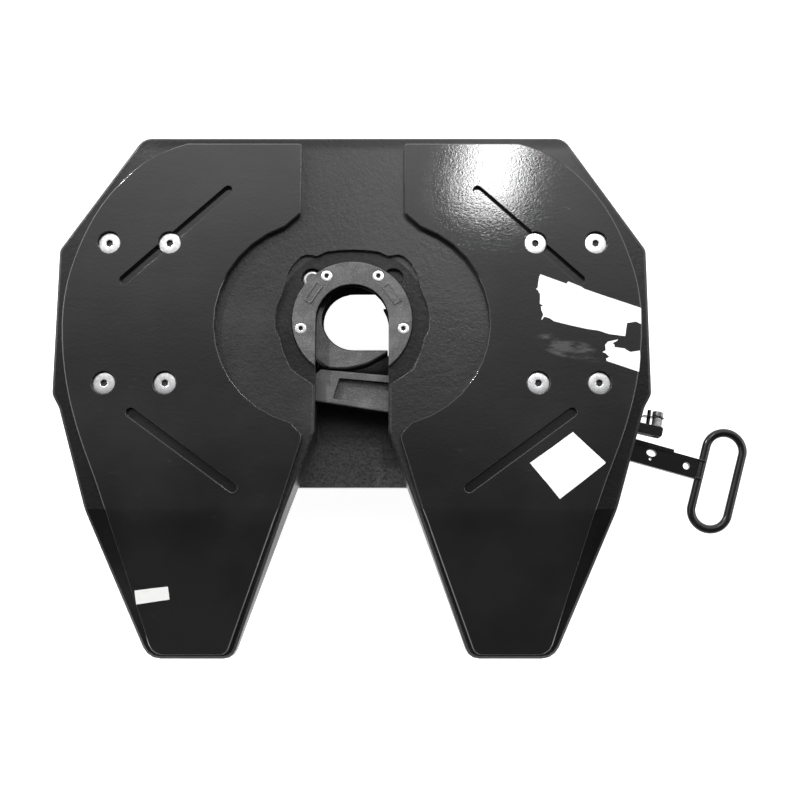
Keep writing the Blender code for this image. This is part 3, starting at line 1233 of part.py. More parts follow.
def build():
    casting = ("painted_casting", (0.022, 0.023, 0.025), 0.55, 0.0)
    polymer = ("liner_polymer", (0.028, 0.029, 0.031), 0.38, 0.0)
    forged = ("forged_lock", (0.07, 0.07, 0.072), 0.5, 0.6)
    zinc = ("zinc_plate", (0.68, 0.68, 0.7), 0.28, 1.0)
    bronze = ("bush_bronze", (0.45, 0.3, 0.14), 0.4, 1.0)
    rubber = ("rubber", (0.015, 0.015, 0.016), 0.85, 0.0)
    spring = ("spring_steel", (0.3, 0.3, 0.31), 0.35, 1.0)
    painted = ("painted_steel", (0.02, 0.021, 0.023), 0.45, 0.0)

    ground = guide_empty("reference", (0, 0, 0))
    ground.location = (-MIDDLE_X * MM, -MIDDLE_Y * MM, 0)
    pitch = guide_empty("pitch_axis", (0, 0, PITCH_HEIGHT), ground)
    jaw_axis = guide_empty("jaw_axis", (*JAW_PIVOT, JAW_BOTTOM), pitch)
    bar_axis = guide_empty("bar_axis", (*BAR_ORIGIN, JAW_BOTTOM), pitch)
    handle_axis = guide_empty("handle_axis", (*HANDLE_PIVOT, JAW_BOTTOM), bar_axis)

    plan = [
        (make_top_plate, (), casting, pitch),
        (make_liner, (1,), polymer, pitch),
        (make_liner, (-1,), polymer, pitch),
        (make_liner_screws, (), zinc, pitch),
        (make_wear_ring, (), forged, pitch),
        (make_wear_ring_screws, (), zinc, pitch),
        (make_jaw_pivot_pin, (), forged, pitch),
        (make_jaw_pin_keeper, (), painted, pitch),
        (make_keeper_screws, (), zinc, pitch),
        (make_stop_screw, (), zinc, pitch),
        (make_stop_nut, (), zinc, pitch),
        (make_stop_plate, (), zinc, pitch),
        (make_stop_guide, (), painted, pitch),
        (make_strap, (1,), painted, pitch),
        (make_strap, (-1,), painted, pitch),
        (make_strap_bolts, (), zinc, pitch),
        (make_strap_washers, (), zinc, pitch),
        (make_lock_bar_spring, (), spring, pitch),
        (make_lock_jaw, (), forged, jaw_axis),
        (make_jaw_bush, (), bronze, jaw_axis),
        (make_lock_bar, (), forged, bar_axis),
        (make_handle_pivot_pin, (), zinc, bar_axis),
        (make_handle_pin_washer, (), zinc, bar_axis),
        (make_release_handle, (), painted, handle_axis),
        (make_catch_plate, (), painted, handle_axis),
        (make_bracket, (1,), casting, ground),
        (make_bracket, (-1,), casting, ground),
        (make_cushion, (1,), rubber, ground),
        (make_cushion, (-1,), rubber, ground),
    ]
    for make, values, (look, colour, roughness, metallic), empty in plan:
        made = make(*values)
        for piece in made if isinstance(made, list) else [made]:
            piece.data.materials.clear()
            piece.data.materials.append(material(f"{piece.name}_{look}", colour, roughness, metallic))
            fix_to(piece, empty)


build()
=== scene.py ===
# %% [markdown]
# # Dressing a fifth wheel coupling
# The imported model gives every casting, liner, screw and lever its true shape and place. This
# lesson gives them their finishes, and adds what a solid model leaves out: bent rod, weld beads,
# screw sockets, labels and a return spring. First the frame is loaded. Nothing made here may
# reach outside it by more than a label's thickness.

# %% Load the frame
import json
import math

import bmesh
import bpy
from mathutils import Matrix, Vector


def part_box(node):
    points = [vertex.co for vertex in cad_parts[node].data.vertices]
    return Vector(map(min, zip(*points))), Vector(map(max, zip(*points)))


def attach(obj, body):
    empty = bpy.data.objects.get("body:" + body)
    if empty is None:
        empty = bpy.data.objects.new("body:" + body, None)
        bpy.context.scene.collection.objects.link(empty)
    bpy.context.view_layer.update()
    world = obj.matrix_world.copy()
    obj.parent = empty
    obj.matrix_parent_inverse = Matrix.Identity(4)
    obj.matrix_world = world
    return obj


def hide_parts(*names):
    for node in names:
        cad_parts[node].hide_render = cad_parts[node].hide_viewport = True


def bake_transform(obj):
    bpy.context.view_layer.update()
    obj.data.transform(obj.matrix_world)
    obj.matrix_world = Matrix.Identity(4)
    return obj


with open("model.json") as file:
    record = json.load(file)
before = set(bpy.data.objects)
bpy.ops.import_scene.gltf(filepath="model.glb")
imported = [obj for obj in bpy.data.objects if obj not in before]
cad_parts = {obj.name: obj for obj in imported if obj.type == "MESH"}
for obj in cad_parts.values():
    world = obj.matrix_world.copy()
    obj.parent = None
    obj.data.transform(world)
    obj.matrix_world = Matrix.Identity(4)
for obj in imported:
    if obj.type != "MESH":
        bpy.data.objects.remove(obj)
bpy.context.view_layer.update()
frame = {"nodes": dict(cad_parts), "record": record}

nodes = frame["nodes"]

# %% [markdown]
# ## Where things are
# Places are measured from the kingpin's axis, which is the middle of the wear ring. The heights of
# the liners, the ring and the handle come from the boxes of their nodes. A helper turns
# millimetres from that axis into the metres of the model's own frame. Two functions give the
# height of a liner's face along the vehicle: as the solid has it, with a sharp crease where the
# ramp begins, and with that crease eased.

# %% Places taken from the frame
ring_low, ring_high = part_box("wear_ring")
AXIS_X = (ring_low.x + ring_high.x) / 2
AXIS_Y = ring_high.y - (ring_high.x - ring_low.x) / 2
LINER_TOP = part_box("liner_right")[1].z
RECESS_DEPTH = 0.006
RECESS_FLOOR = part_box("top_plate")[1].z - RECESS_DEPTH
RAMP_LINE = -0.306
RAMP_FALL = math.tan(math.radians(12.5))
TOP_SLACK = 0.0002


def spot(x, y, z=0.0):
    """Point in the frame, from millimetres beside and in front of the kingpin's axis."""
    return Vector((AXIS_X + x / 1000, AXIS_Y + y / 1000, z / 1000))


def solid_height(y):
    """Height of the solid liner's upper face, which falls with the ramp."""
    return LINER_TOP - max(0.0, RAMP_LINE - (y - AXIS_Y)) * RAMP_FALL


EASE_START, EASE = -0.302, 0.030
LINER_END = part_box("liner_right")[0].y
EASED_RUN = AXIS_Y + EASE_START - LINER_END - EASE * 2 / 3
EASED_FALL = (LINER_TOP - solid_height(LINER_END)) / EASED_RUN


def liner_height(y):
    """Height of the same face with its crease eased over three centimetres."""
    behind = max(0.0, EASE_START - (y - AXIS_Y))
    run = behind ** 3 / (3 * EASE ** 2) if behind < EASE else behind - EASE * 2 / 3
    return LINER_TOP - run * EASED_FALL


MOUTH = spot(2.0, 4.5)
print("kingpin axis", round(AXIS_X, 4), round(AXIS_Y, 4), "liner top", round(LINER_TOP, 4))

# %% [markdown]
# ## The camera
# The photograph was taken from about two metres up and a little behind the kingpin, looking down
# and eleven degrees towards the front. A camera set from that distance, and not a longer lens
# from further off, keeps the legs of the plate as large against the front edge as they are in the
# photograph.

# %% Camera
camera_data = bpy.data.cameras.new("camera")
camera_data.sensor_width = 36.0
camera_data.lens = 56.9
camera = bpy.data.objects.new("camera", camera_data)
camera.location = (-0.0052, -0.4035, 2.188)
camera.rotation_euler = (math.radians(11.0), 0.0, 0.0)
bpy.context.scene.collection.objects.link(camera)
bpy.context.scene.camera = camera
print("camera height", camera.location.z)

# %% [markdown]
# ## Writing a material as a formula
# A material that varies is arithmetic on the surface's own coordinates. The small class below
# wraps a socket, so that `1 - mask * 0.4` adds its Math nodes by itself. Colours go through a Mix
# node, because a Math node would turn them grey. Every other node comes from one method, which
# takes the node's type, its settings and the values or links of its inputs.

# %% A socket that can be calculated with
class Wire:
    """One output of a node, with arithmetic that adds Math nodes."""

    def __init__(self, recipe, socket):
        self.recipe = recipe
        self.socket = socket

    def math(self, operation, other):
        return self.recipe.node("ShaderNodeMath", {"operation": operation}, {0: self, 1: other})

    def __add__(self, other):
        return self.math("ADD", other)

    def __mul__(self, other):
        return self.math("MULTIPLY", other)

    def __sub__(self, other):
        return self.math("SUBTRACT", other)

    def __rsub__(self, other):
        return self.recipe.node("ShaderNodeMath", {"operation": "SUBTRACT"}, {0: other, 1: self})

    __radd__ = __add__
    __rmul__ = __mul__

    def between(self, low, high):
        """0 below low and 1 above high, with a soft step."""
        settings = {"interpolation_type": "SMOOTHSTEP"}
        return self.recipe.node("ShaderNodeMapRange", settings, {"Value": self, 1: low, 2: high})


class Recipe:
    """A Principled material with one method that makes every node."""

    def __init__(self, name, roughness=0.5, metallic=0.0, **steady):
        self.look = bpy.data.materials.new(name)
        self.look.use_nodes = True
        self.tree = self.look.node_tree
        self.shader = self.tree.nodes["Principled BSDF"]
        self.shader.inputs["Roughness"].default_value = roughness
        self.shader.inputs["Metallic"].default_value = metallic
        for socket, value in steady.items():
            self.shader.inputs[socket.replace("_", " ")].default_value = value
        self.place = self.node("ShaderNodeTexCoord", {}, {}, "Object")
        self.soft = None

    def node(self, kind, settings, inputs, output=0):
        made = self.tree.nodes.new(kind)
        for name, value in settings.items():
            setattr(made, name, value)
        for name, value in inputs.items():
            if isinstance(value, Wire):
                self.tree.links.new(value.socket, made.inputs[name])
            else:
                made.inputs[name].default_value = value
        return Wire(self, made.outputs[output])

    def axes(self):
        """The three coordinates of the surface, as they stand in the frame."""
        parts = self.node("ShaderNodeSeparateXYZ", {}, {0: self.place}).socket.node.outputs
        return [Wire(self, parts[axis]) for axis in "XYZ"]

    def noise(self, scale, detail=4.0, roughness=0.55, stretch=(1, 1, 1)):
        place = self.place
        if stretch != (1, 1, 1):
            place = self.node("ShaderNodeMapping", {}, {"Vector": place, "Scale": stretch})
        return self.node("ShaderNodeTexNoise", {}, {
            "Vector": place, "Scale": scale, "Detail": detail, "Roughness": roughness})

    def cells(self, scale):
        return self.node("ShaderNodeTexVoronoi", {}, {"Vector": self.place, "Scale": scale})

    def mix(self, share, first, second):
        """Colour that goes from the first to the second as the share goes from 0 to 1."""
        made = self.tree.nodes.new("ShaderNodeMix")
        made.data_type = "RGBA"
        for place, value in ((0, share), (6, first), (7, second)):
            if isinstance(value, Wire):
                self.tree.links.new(value.socket, made.inputs[place])
            elif place == 0:
                made.inputs[place].default_value = value
            else:
                made.inputs[place].default_value = (*value, 1)
        return Wire(self, made.outputs[2])

    def colour(self, share, first, second):
        self.set("Base Color", self.mix(share, first, second))

    def set(self, socket, wire):
        self.tree.links.new(wire.socket, self.shader.inputs[socket])
        return self

    def lay_painted_shade(self, share):
        """Lays a black matt film over the finish where the share is 1, as painted shade."""
        film = self.tree.nodes.new("ShaderNodeBsdfPrincipled")
        film.inputs["Base Color"].default_value = (0.004, 0.004, 0.004, 1)
        film.inputs["Roughness"].default_value = 0.9
        film.inputs["Specular IOR Level"].default_value = 0.0
        both = self.tree.nodes.new("ShaderNodeMixShader")
        self.tree.links.new(share.socket, both.inputs[0])
        self.tree.links.new(self.shader.outputs[0], both.inputs[1])
        self.tree.links.new(film.outputs[0], both.inputs[2])
        self.tree.links.new(both.outputs[0], self.tree.nodes["Material Output"].inputs["Surface"])
        return self

    def rounded(self, radius):
        """Normal of the surface as if its edges were rounded, and a mask of those edges."""
        self.soft = self.node("ShaderNodeBevel", {"samples": 6}, {"Radius": radius})
        true = self.node("ShaderNodeNewGeometry", {}, {}, "Normal")
        facing = self.node("ShaderNodeVectorMath", {"operation": "DOT_PRODUCT"},
                           {0: self.soft, 1: true}, "Value")
        return (1 - facing).between(0.01, 0.12)

    def bump(self, *layers):
        """Bumps laid over each other, each as (height, strength, depth in metres)."""
        normal = self.soft
        for height, strength, depth in layers:
            inputs = {"Height": height, "Strength": strength, "Distance": depth}
            if normal is not None:
                inputs["Normal"] = normal
            normal = self.node("ShaderNodeBump", {}, inputs)
        return self.set("Normal", normal)


print("material helpers ready")

# %% [markdown]
# ## Painted casting
# The plate is cast iron under a thin satin coat of black. Sand leaves a fine pebbled skin that
# the paint doesn't hide, and handling leaves dull grey dust in patches. Two sizes of noise make
# the skin, and a large soft one makes the dust. Roughness follows the dust, which is what breaks
# up a reflection on the real thing. Masks of place paint the low web lighter grey, as painted
# light, and lay a black matt film of painted shade in the recess, in the throat, on the flange
# and along the front edge, where a glossy wall would mirror the white floor.

# %% Casting, forged and painted finishes
def painted_casting():
    made = Recipe("painted_casting", Specular_IOR_Level=0.42)
    edge = made.rounded(0.0016)
    dust = made.noise(7.0, 5.0).between(0.40, 0.75)
    sand = made.noise(230.0, 6.0, 0.68)
    pebble = made.noise(95.0, 4.0, 0.6)
    chip = made.noise(300.0, 3.0).between(0.46, 0.62)
    colour = made.mix(dust, (0.0060, 0.0060, 0.0065), (0.0135, 0.0135, 0.014))
    colour = made.mix(sand.between(0.60, 0.80) * 0.5, colour, (0.040, 0.040, 0.041))
    x, y, height = made.axes()
    across, along = x - AXIS_X, y - AXIS_Y
    # Painted light: the low web is painted a lighter grey in a sandy pattern, as if lit.
    web = (1 - height.between(0.150, 0.160)) * (1 - along.between(-0.205, -0.175))
    web_painted_light = web * sand.between(0.30, 0.62)
    colour = made.mix(web_painted_light * 0.9, colour, (0.066, 0.066, 0.066))
    made.colour(edge * chip * 0.85, colour, (0.190, 0.190, 0.192))
    made.set("Roughness", 0.22 + dust * 0.12 + sand * 0.14)
    # Painted shade: a black matt film darkens the recess round the ring, the outer flange (most
    # towards the rear), a band along the front edge and the throat's walls.
    near = 1 - (across * across + along * along).between(0.0150, 0.0156)
    low = 1 - height.between(RECESS_FLOOR + 0.0006, RECESS_FLOOR + 0.0022)
    recess = near * low * (0.30 + sand.between(0.3, 0.7) * 0.25)
    outer = (across * across).between(0.110, 0.160)
    flange = outer * (1 - along.between(-0.16, 0.10) * 0.40) * 0.54
    band = along.between(0.285, 0.300) * 0.40
    inner = 1 - (across * across + along * along).between(0.0040, 0.0042)
    throat = inner * (1 - height.between(RECESS_FLOOR - 0.003, RECESS_FLOOR - 0.002)) * 0.95
    made.lay_painted_shade(recess.math("MAXIMUM", flange).math("MAXIMUM", band).math("MAXIMUM", throat))
    return made.bump((pebble, 0.25, 0.0014), (sand, 0.45, 0.0009)).look


def forged_metal(name="forged_metal", shaded_mouth=False):
    """Jaw, ring and lock bar: dark scale with rubbed, greyer high places."""
    made = Recipe(name, roughness=0.48, metallic=0.25)
    edge = made.rounded(0.0014)
    scale = made.noise(150.0, 6.0, 0.72)
    rub = made.noise(30.0, 5.0).between(0.42, 0.66)
    pits = made.noise(620.0, 4.0, 0.7)
    chip = made.noise(210.0, 3.0).between(0.40, 0.60)
    colour = made.mix(rub, (0.045, 0.045, 0.046), (0.082, 0.082, 0.084))
    colour = made.mix(pits.between(0.50, 0.66) * 0.7, colour, (0.165, 0.165, 0.168))
    made.colour(edge * chip * 0.8, colour, (0.260, 0.260, 0.262))
    made.set("Roughness", 0.38 + scale * 0.26)
    # Painted shade: a black matt film on the jaw round the front half of its mouth, under the
    # ring's inner edge.
    if shaded_mouth:
        x, y, _ = made.axes()
        across, along = x - MOUTH.x, y - MOUTH.y
        near = 1 - (across * across + along * along).between(0.0038, 0.0044)
        made.lay_painted_shade(near * (along + (scale - 0.5) * 0.03).between(0.012, 0.026) * 0.92)
    return made.bump((scale, 0.60, 0.0012), (pits, 0.75, 0.0009)).look


def painted_steel():
    """Handle, catch and straps: smooth black paint over rolled steel."""
    made = Recipe("painted_steel", Specular_IOR_Level=0.28)
    edge = made.rounded(0.0008)
    peel = made.noise(260.0, 3.0)
    dust = made.noise(22.0, 4.0).between(0.5, 0.75)
    chip = made.noise(380.0, 3.0).between(0.50, 0.64)
    colour = made.mix(dust, (0.0050, 0.0050, 0.0055), (0.0120, 0.0120, 0.0125))
    made.colour(edge * chip * 0.6, colour, (0.120, 0.120, 0.122))
    made.set("Roughness", 0.18 + dust * 0.20)
    return made.bump((peel, 0.20, 0.0004)).look


finish = {
    "casting_paint": painted_casting(),
    "lock_metal": forged_metal(),
    "jaw_metal": forged_metal("jaw_metal", shaded_mouth=True),
    "painted_steel": painted_steel(),
}
print("made", sorted(finish))

# %% [markdown]
# ## Liners
# The liners are smooth black polymer, wiped and handled. They show faint streaks along the length
# of the vehicle, a soft cloud of grey where dust has been rubbed in, and one smear beside the
# large label. There is hardly any relief, so the surface is left to gloss: long stretched noise
# in the roughness, and a bump that shows only where a lamp is mirrored.

# %% Liner finish
def liner_polymer():
    made = Recipe("liner_polymer")
    edge = made.rounded(0.0012)
    wipe = made.noise(60.0, 5.0, 0.6, (0.25, 1.0, 1.0))
    cloud = made.noise(4.0, 4.0).between(0.36, 0.72)
    scuff = made.noise(140.0, 6.0, 0.7, (0.30, 1.0, 1.0)).between(0.60, 0.76)
    grain = made.noise(330.0, 4.0, 0.6)
    colour = made.mix(cloud, (0.0052, 0.0052, 0.0056), (0.0120, 0.0120, 0.0124))
    colour = made.mix(scuff * 0.25, colour, (0.032, 0.032, 0.033))
    x, y, _ = made.axes()
    across, along = x - AXIS_X, y - AXIS_Y
    side = (across - 0.345) * 0.96 - (along + 0.050) * 0.28
    rise = (across - 0.345) * 0.28 + (along + 0.050) * 0.96
    oval = 1 - (side * side * 260 + rise * rise * 2600).between(0.5, 1.0)
    smear_and_shade_mottle = oval * scuff.math("MAXIMUM", wipe.between(0.45, 0.62))
    colour = made.mix(smear_and_shade_mottle * 0.7, colour, (0.045, 0.045, 0.045))
    # Painted highlight: the rolled edges are painted lighter grey, most strongly behind the
    # kingpin.
    rear = 1 - along.between(-0.06, 0.06) * 0.85
    made.colour(edge * rear * 0.7, colour, (0.110, 0.110, 0.112))
    made.set("Roughness", 0.05 + wipe * 0.03 + scuff * 0.10 + smear_and_shade_mottle * 0.25)
    speck = made.noise(210.0, 3.0, 0.5)
    return made.bump((wipe, 0.08, 0.0008), (speck, 0.10, 0.0006), (grain, 0.16, 0.0005)).look


finish["liner_polymer"] = liner_polymer()
print("liner finish ready")

# %% [markdown]
# ## Bright metal, bronze, rubber and spring wire
# Zinc is bright with a faint crystal pattern, and grey where it has weathered. Bronze is a plain
# bearing metal, the rubber is matt, and the spring wire keeps a film of oil. Black painted shade
# for walls round the kingpin, painted shade inside a socket, ground steel and paper complete the
# set. Each is one short recipe, because these pieces are small and what shows of them is mostly
# their reflection.

# %% Small finishes
def zinc_plate():
    made = Recipe("zinc_plate", roughness=0.26, metallic=1.0)
    crystal = made.cells(380.0)
    haze = made.noise(160.0, 4.0)
    made.colour(haze.between(0.4, 0.7), (0.74, 0.74, 0.75), (0.52, 0.52, 0.53))
    made.set("Roughness", 0.20 + haze * 0.18)
    return made.bump((crystal, 0.06, 0.0003)).look


def socket_painted_shade():
    """Painted shade: the dark inside of a screw's socket."""
    made = Recipe("socket_painted_shade", roughness=0.55, metallic=0.4)
    socket_shade_mottle = made.noise(420.0, 3.0).between(0.4, 0.7)
    made.colour(socket_shade_mottle, (0.012, 0.012, 0.013), (0.060, 0.060, 0.060))
    return made.bump((socket_shade_mottle, 0.2, 0.0003)).look


def black_painted_shade():
    """Painted shade: black matt finish for walls round the kingpin that lie in shadow."""
    made = Recipe("black_painted_shade", roughness=0.9, Specular_IOR_Level=0.0)
    smear_and_shade_mottle = made.noise(110.0, 4.0)
    made.colour(smear_and_shade_mottle.between(0.4, 0.7), (0.003, 0.003, 0.003), (0.010, 0.010, 0.010))
    made.set("Roughness", 0.7 + smear_and_shade_mottle * 0.3)
    return made.bump((smear_and_shade_mottle, 0.4, 0.0008)).look


def weathered_zinc():
    """Zinc that has gone grey outdoors, on the stop screw beside the handle."""
    made = Recipe("weathered_zinc", roughness=0.5, metallic=0.7)
    bloom = made.noise(150.0, 5.0).between(0.35, 0.7)
    edge = made.rounded(0.0008)
    colour = made.mix(bloom, (0.130, 0.130, 0.133), (0.360, 0.360, 0.362))
    made.colour(edge, colour, (0.520, 0.520, 0.525))
    made.set("Roughness", 0.36 + bloom * 0.25)
    return made.bump((made.noise(420.0, 3.0), 0.15, 0.0003)).look


def worn_steel():
    """Ground steel on the end of the jaw's pin."""
    made = Recipe("worn_steel", roughness=0.3, metallic=0.9)
    rub = made.noise(180.0, 4.0)
    made.colour(rub, (0.350, 0.350, 0.352), (0.700, 0.700, 0.702))
    made.set("Roughness", 0.18 + rub * 0.20)
    return made.bump((rub, 0.2, 0.0004)).look


def bearing_bronze():
    made = Recipe("bearing_bronze", roughness=0.4, metallic=1.0)
    stain = made.noise(90.0, 4.0).between(0.4, 0.7)
    made.colour(stain, (0.46, 0.30, 0.13), (0.25, 0.15, 0.07))
    made.set("Roughness", 0.30 + stain * 0.2)
    return made.bump((made.noise(300.0, 2.0), 0.1, 0.0003)).look


def moulded_rubber():
    made = Recipe("moulded_rubber", roughness=0.82)
    bloom = made.noise(30.0, 4.0).between(0.4, 0.75)
    made.colour(bloom, (0.010, 0.010, 0.011), (0.028, 0.028, 0.028))
    made.set("Roughness", 0.72 + bloom * 0.18)
    return made.bump((made.noise(350.0, 2.0), 0.2, 0.0004)).look


def oiled_spring():
    made = Recipe("oiled_spring", roughness=0.3, metallic=1.0)
    film = made.noise(120.0, 4.0).between(0.35, 0.7)
    made.colour(film, (0.32, 0.32, 0.33), (0.16, 0.15, 0.14))
    made.set("Roughness", 0.22 + film * 0.2)
    return made.bump((made.noise(500.0, 2.0), 0.1, 0.0002)).look


def label_paper():
    """Plain paper, creased and a little soiled."""
    made = Recipe("label_paper", roughness=0.6)
    soil = made.noise(34.0, 5.0, 0.7).between(0.50, 0.80)
    made.colour(soil * 0.5, (0.78, 0.78, 0.77), (0.42, 0.42, 0.41))
    made.set("Roughness", 0.48 + soil * 0.2)
    return made.bump((made.noise(70.0, 4.0), 0.35, 0.0008)).look


finish["zinc_plate"] = zinc_plate()
finish["socket_painted_shade"] = socket_painted_shade()
finish["black_painted_shade"] = black_painted_shade()
finish["worn_steel"] = worn_steel()
finish["weathered_zinc"] = weathered_zinc()
finish["bush_bronze"] = bearing_bronze()
finish["rubber"] = moulded_rubber()
finish["spring_steel"] = oiled_spring()
paper = label_paper()
print("finishes", len(finish) + 1)

# %% [markdown]
# ## Dressing the solids
# The record names a material slot for each node. Each solid keeps its mesh and takes the finish
# of its slot, so the castings and levers are dressed in one pass.

# %% Give every solid its finish
for row in frame["record"]["subparts"]:
    solid = nodes[row["node"]]
    solid.data.materials.clear()
    solid.data.materials.append(finish[row["material_slot"]])

# %% [markdown]
# ## Tools for new pieces
# An operator works on all that is selected, and loading left the solids selected. So each piece
# starts by deselecting everything. A finished piece sits at the origin with its place in its
# mesh, as the solids do, and rides on the body that carries it.

# %% Helpers for new pieces
def edit_mode():
    bpy.ops.object.mode_set(mode="EDIT")


def object_mode():
    bpy.ops.object.mode_set(mode="OBJECT")


def clear_selection():
    for other in bpy.context.selected_objects:
        other.select_set(False)
    bpy.context.view_layer.objects.active = None


def only(piece):
    clear_selection()
    piece.select_set(True)
    bpy.context.view_layer.objects.active = piece
    return piece


def settle(piece, look, body):
    """Applies modifiers and place, shades the piece, and lets it ride on its body."""
    only(piece)
    for modifier in list(piece.modifiers):
        bpy.ops.object.modifier_apply(modifier=modifier.name)
    bpy.ops.object.transform_apply(location=True, rotation=True, scale=True)
    bpy.ops.object.shade_smooth_by_angle(angle=math.radians(32))
    flow = piece.modifiers.new("flow", "WEIGHTED_NORMAL")
    flow.keep_sharp = True
    bpy.ops.object.modifier_apply(modifier=flow.name)
    if look:
        piece.data.materials.clear()
        piece.data.materials.append(look)
    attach(piece, body)
    return piece


def pick_faces(piece, test):
    """Selects the faces whose centre and normal pass a test, and nothing else, in edit mode."""
    bpy.context.tool_settings.mesh_select_mode = (False, False, True)
    object_mode()
    piece.data.vertices.foreach_set("select", [False] * len(piece.data.vertices))
    piece.data.edges.foreach_set("select", [False] * len(piece.data.edges))
    for polygon in piece.data.polygons:
        polygon.select = bool(test(polygon.center, polygon.normal))
    edit_mode()


def extrude(step):
    """Extrudes what is selected and moves it on."""
    bpy.ops.mesh.extrude_region_move(TRANSFORM_OT_translate={"value": step})


def normals_outward():
    bpy.ops.mesh.select_all(action="SELECT")
    bpy.ops.mesh.normals_make_consistent(inside=False)


def add_modifier(piece, name, kind, **settings):
    made = piece.modifiers.new(name, kind)
    for setting, value in settings.items():
        setattr(made, setting, value)


def boolean(piece, tool, operation):
    """Cuts a tool out of a piece, or joins it on, and removes the tool."""
    only(piece)
    add_modifier(piece, "boolean", "BOOLEAN", operation=operation, solver="EXACT", object=tool)
    bpy.ops.object.modifier_apply(modifier="boolean")
    bpy.data.objects.remove(tool)


print("piece helpers ready")

# %% [markdown]
# ## Blank labels
# Four pieces of paper lie on the liners: one whole with a torn end, one scrap, one turned and one
# small. A label is a flat circle whose points are moved onto the label's
# outline, laid on the liner at the height that the liner has there, and extruded by the thickness
# of paper.

# %% Labels
def paper_label(name, outline):
    """Blank label with an outline in millimetres, lying on the liner."""
    clear_selection()
    bpy.ops.mesh.primitive_circle_add(vertices=len(outline), radius=0.01, fill_type="NGON")
    piece = bpy.context.object
    piece.name = name
    for vert, (x, y) in zip(piece.data.vertices, outline):
        place = spot(x, y)
        vert.co = (place.x, place.y, liner_height(place.y) + 0.00018)
    edit_mode()
    bpy.ops.mesh.select_all(action="SELECT")
    extrude((0, 0, 0.00016))
    normals_outward()
    bpy.ops.mesh.quads_convert_to_tris()
    object_mode()
    return settle(piece, paper, "coupling_plate")


print("label helper ready")

# %% [markdown]
# The outlines are measured in the photograph and given in millimetres from the kingpin's axis. The
# large label has a ragged torn left end, a step in its upper edge and a corner missing at its
# right. The rotated label lies before the ramp, and the small one on the left ramp.

# %% Place the labels
paper_label("label_large", [
    (303.5, 72.0), (344.9, 56.3), (347.9, 60.1), (369.2, 51.1), (374.1, 47.4), (411.7, 34.0),
    (463.0, 16.2), (463.6, 14.8), (463.0, -10.3), (461.0, -9.9), (454.7, -6.6), (440.4, -8.9),
    (436.8, -30.2), (435.4, -30.5), (411.2, -27.2), (394.3, -21.4), (374.4, -18.4), (348.9, -12.5),
    (323.3, -5.9), (316.3, -0.8), (307.8, 1.5), (304.1, -3.7), (303.1, -3.4), (306.7, 5.2),
    (303.7, 12.5), (303.1, 18.5), (306.7, 19.9), (301.4, 22.9), (301.9, 30.3), (302.1, 40.0),
    (300.7, 40.7), (298.7, 45.9), (295.8, 47.4), (298.8, 50.4), (299.7, 58.6), (301.3, 67.5)])
paper_label("label_scrap", [
    (419.1, -48.5), (434.7, -50.7), (438.8, -53.6), (444.4, -56.5), (459.4, -54.3), (459.4, -66.7),
    (456.8, -88.5), (454.7, -88.2), (430.9, -79.8), (405.6, -71.1), (405.0, -67.4), (410.1, -64.5),
    (404.5, -58.7), (399.6, -56.5), (404.7, -53.6), (404.3, -44.8), (408.7, -39.7), (415.2, -38.2),
    (425.2, -36.0), (423.7, -38.2), (416.5, -41.9), (419.2, -44.8)])
paper_label("label_rotated", [
    (280.5, -234.9), (303.0, -262.6), (304.6, -264.0), (326.1, -291.5), (363.0, -263.4),
    (399.5, -234.9), (398.2, -233.0), (374.0, -209.8), (349.1, -185.7), (315.0, -210.6)])
paper_label("label_small", [
    (-333.8, -453.0), (-307.0, -448.9), (-281.9, -445.4), (-282.9, -436.0), (-284.2, -425.6),
    (-310.0, -428.3), (-336.2, -431.7), (-335.4, -441.0)])
print("labels placed")

# %% [markdown]
# ## Forgings and liners with rolled edges
# A solid from the model has knife-sharp edges, and no casting or forging has. The outline is
# right, though, so a piece is not drawn again: a copy of the solid's mesh is merged, its flat faces
# are joined into one each, and its sharp edges are bevelled. The copy then stands for the node.

# %% A copy with rolled edges
def rolled_copy(node, name, body, slot, width, first=None, look=None):
    clear_selection()
    piece = bpy.data.objects.new(name, nodes[node].data.copy())
    bpy.context.scene.collection.objects.link(piece)
    only(piece)
    edit_mode()
    bpy.ops.mesh.select_all(action="SELECT")
    bpy.ops.mesh.remove_doubles(threshold=0.00002)
    bpy.ops.mesh.dissolve_limited(angle_limit=math.radians(0.8))
    if first:
        first(piece)
    bpy.context.tool_settings.mesh_select_mode = (False, True, False)
    bpy.ops.mesh.select_all(action="DESELECT")
    bpy.ops.mesh.edges_select_sharp(sharpness=math.radians(38))
    bpy.ops.mesh.bevel(offset=width, segments=2, profile=0.6, clamp_overlap=True)
    object_mode()
    settle(piece, finish[look or slot], body)
    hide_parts(node)
    print(name, len(piece.data.polygons), "faces")
    return piece


ring = rolled_copy("wear_ring", "ring_forging", "coupling_plate", "lock_metal", 0.0009)

# %% [markdown]
# The jaw's mouth has a wide worn lead-in, where each kingpin has pushed against it. Only the upper
# edge of the mouth gets it, so those edges are picked by their height and their distance from the
# mouth's middle, and bevelled before the rest. The bar's rear edge and the pin's end get plain
# chamfers in the same way. Walls of the ring and the jaw that face the kingpin, and all the bar's
# walls, then take black painted shade as a second finish.

# %% Jaw, lock bar and their rolled edges
def pick_edges(piece, test):
    """Selects the edges whose two ends both pass a test, in edit mode."""
    bpy.context.tool_settings.mesh_select_mode = (False, True, False)
    object_mode()
    points = piece.data.vertices
    points.foreach_set("select", [False] * len(points))
    piece.data.polygons.foreach_set("select", [False] * len(piece.data.polygons))
    for edge in piece.data.edges:
        edge.select = all(test(points[k].co) for k in edge.vertices)
    edit_mode()


MOUTH_RADIUS = 0.0505
SLIDE_TURN = math.radians(-8.9)
BAR_MIDDLE = -110.5


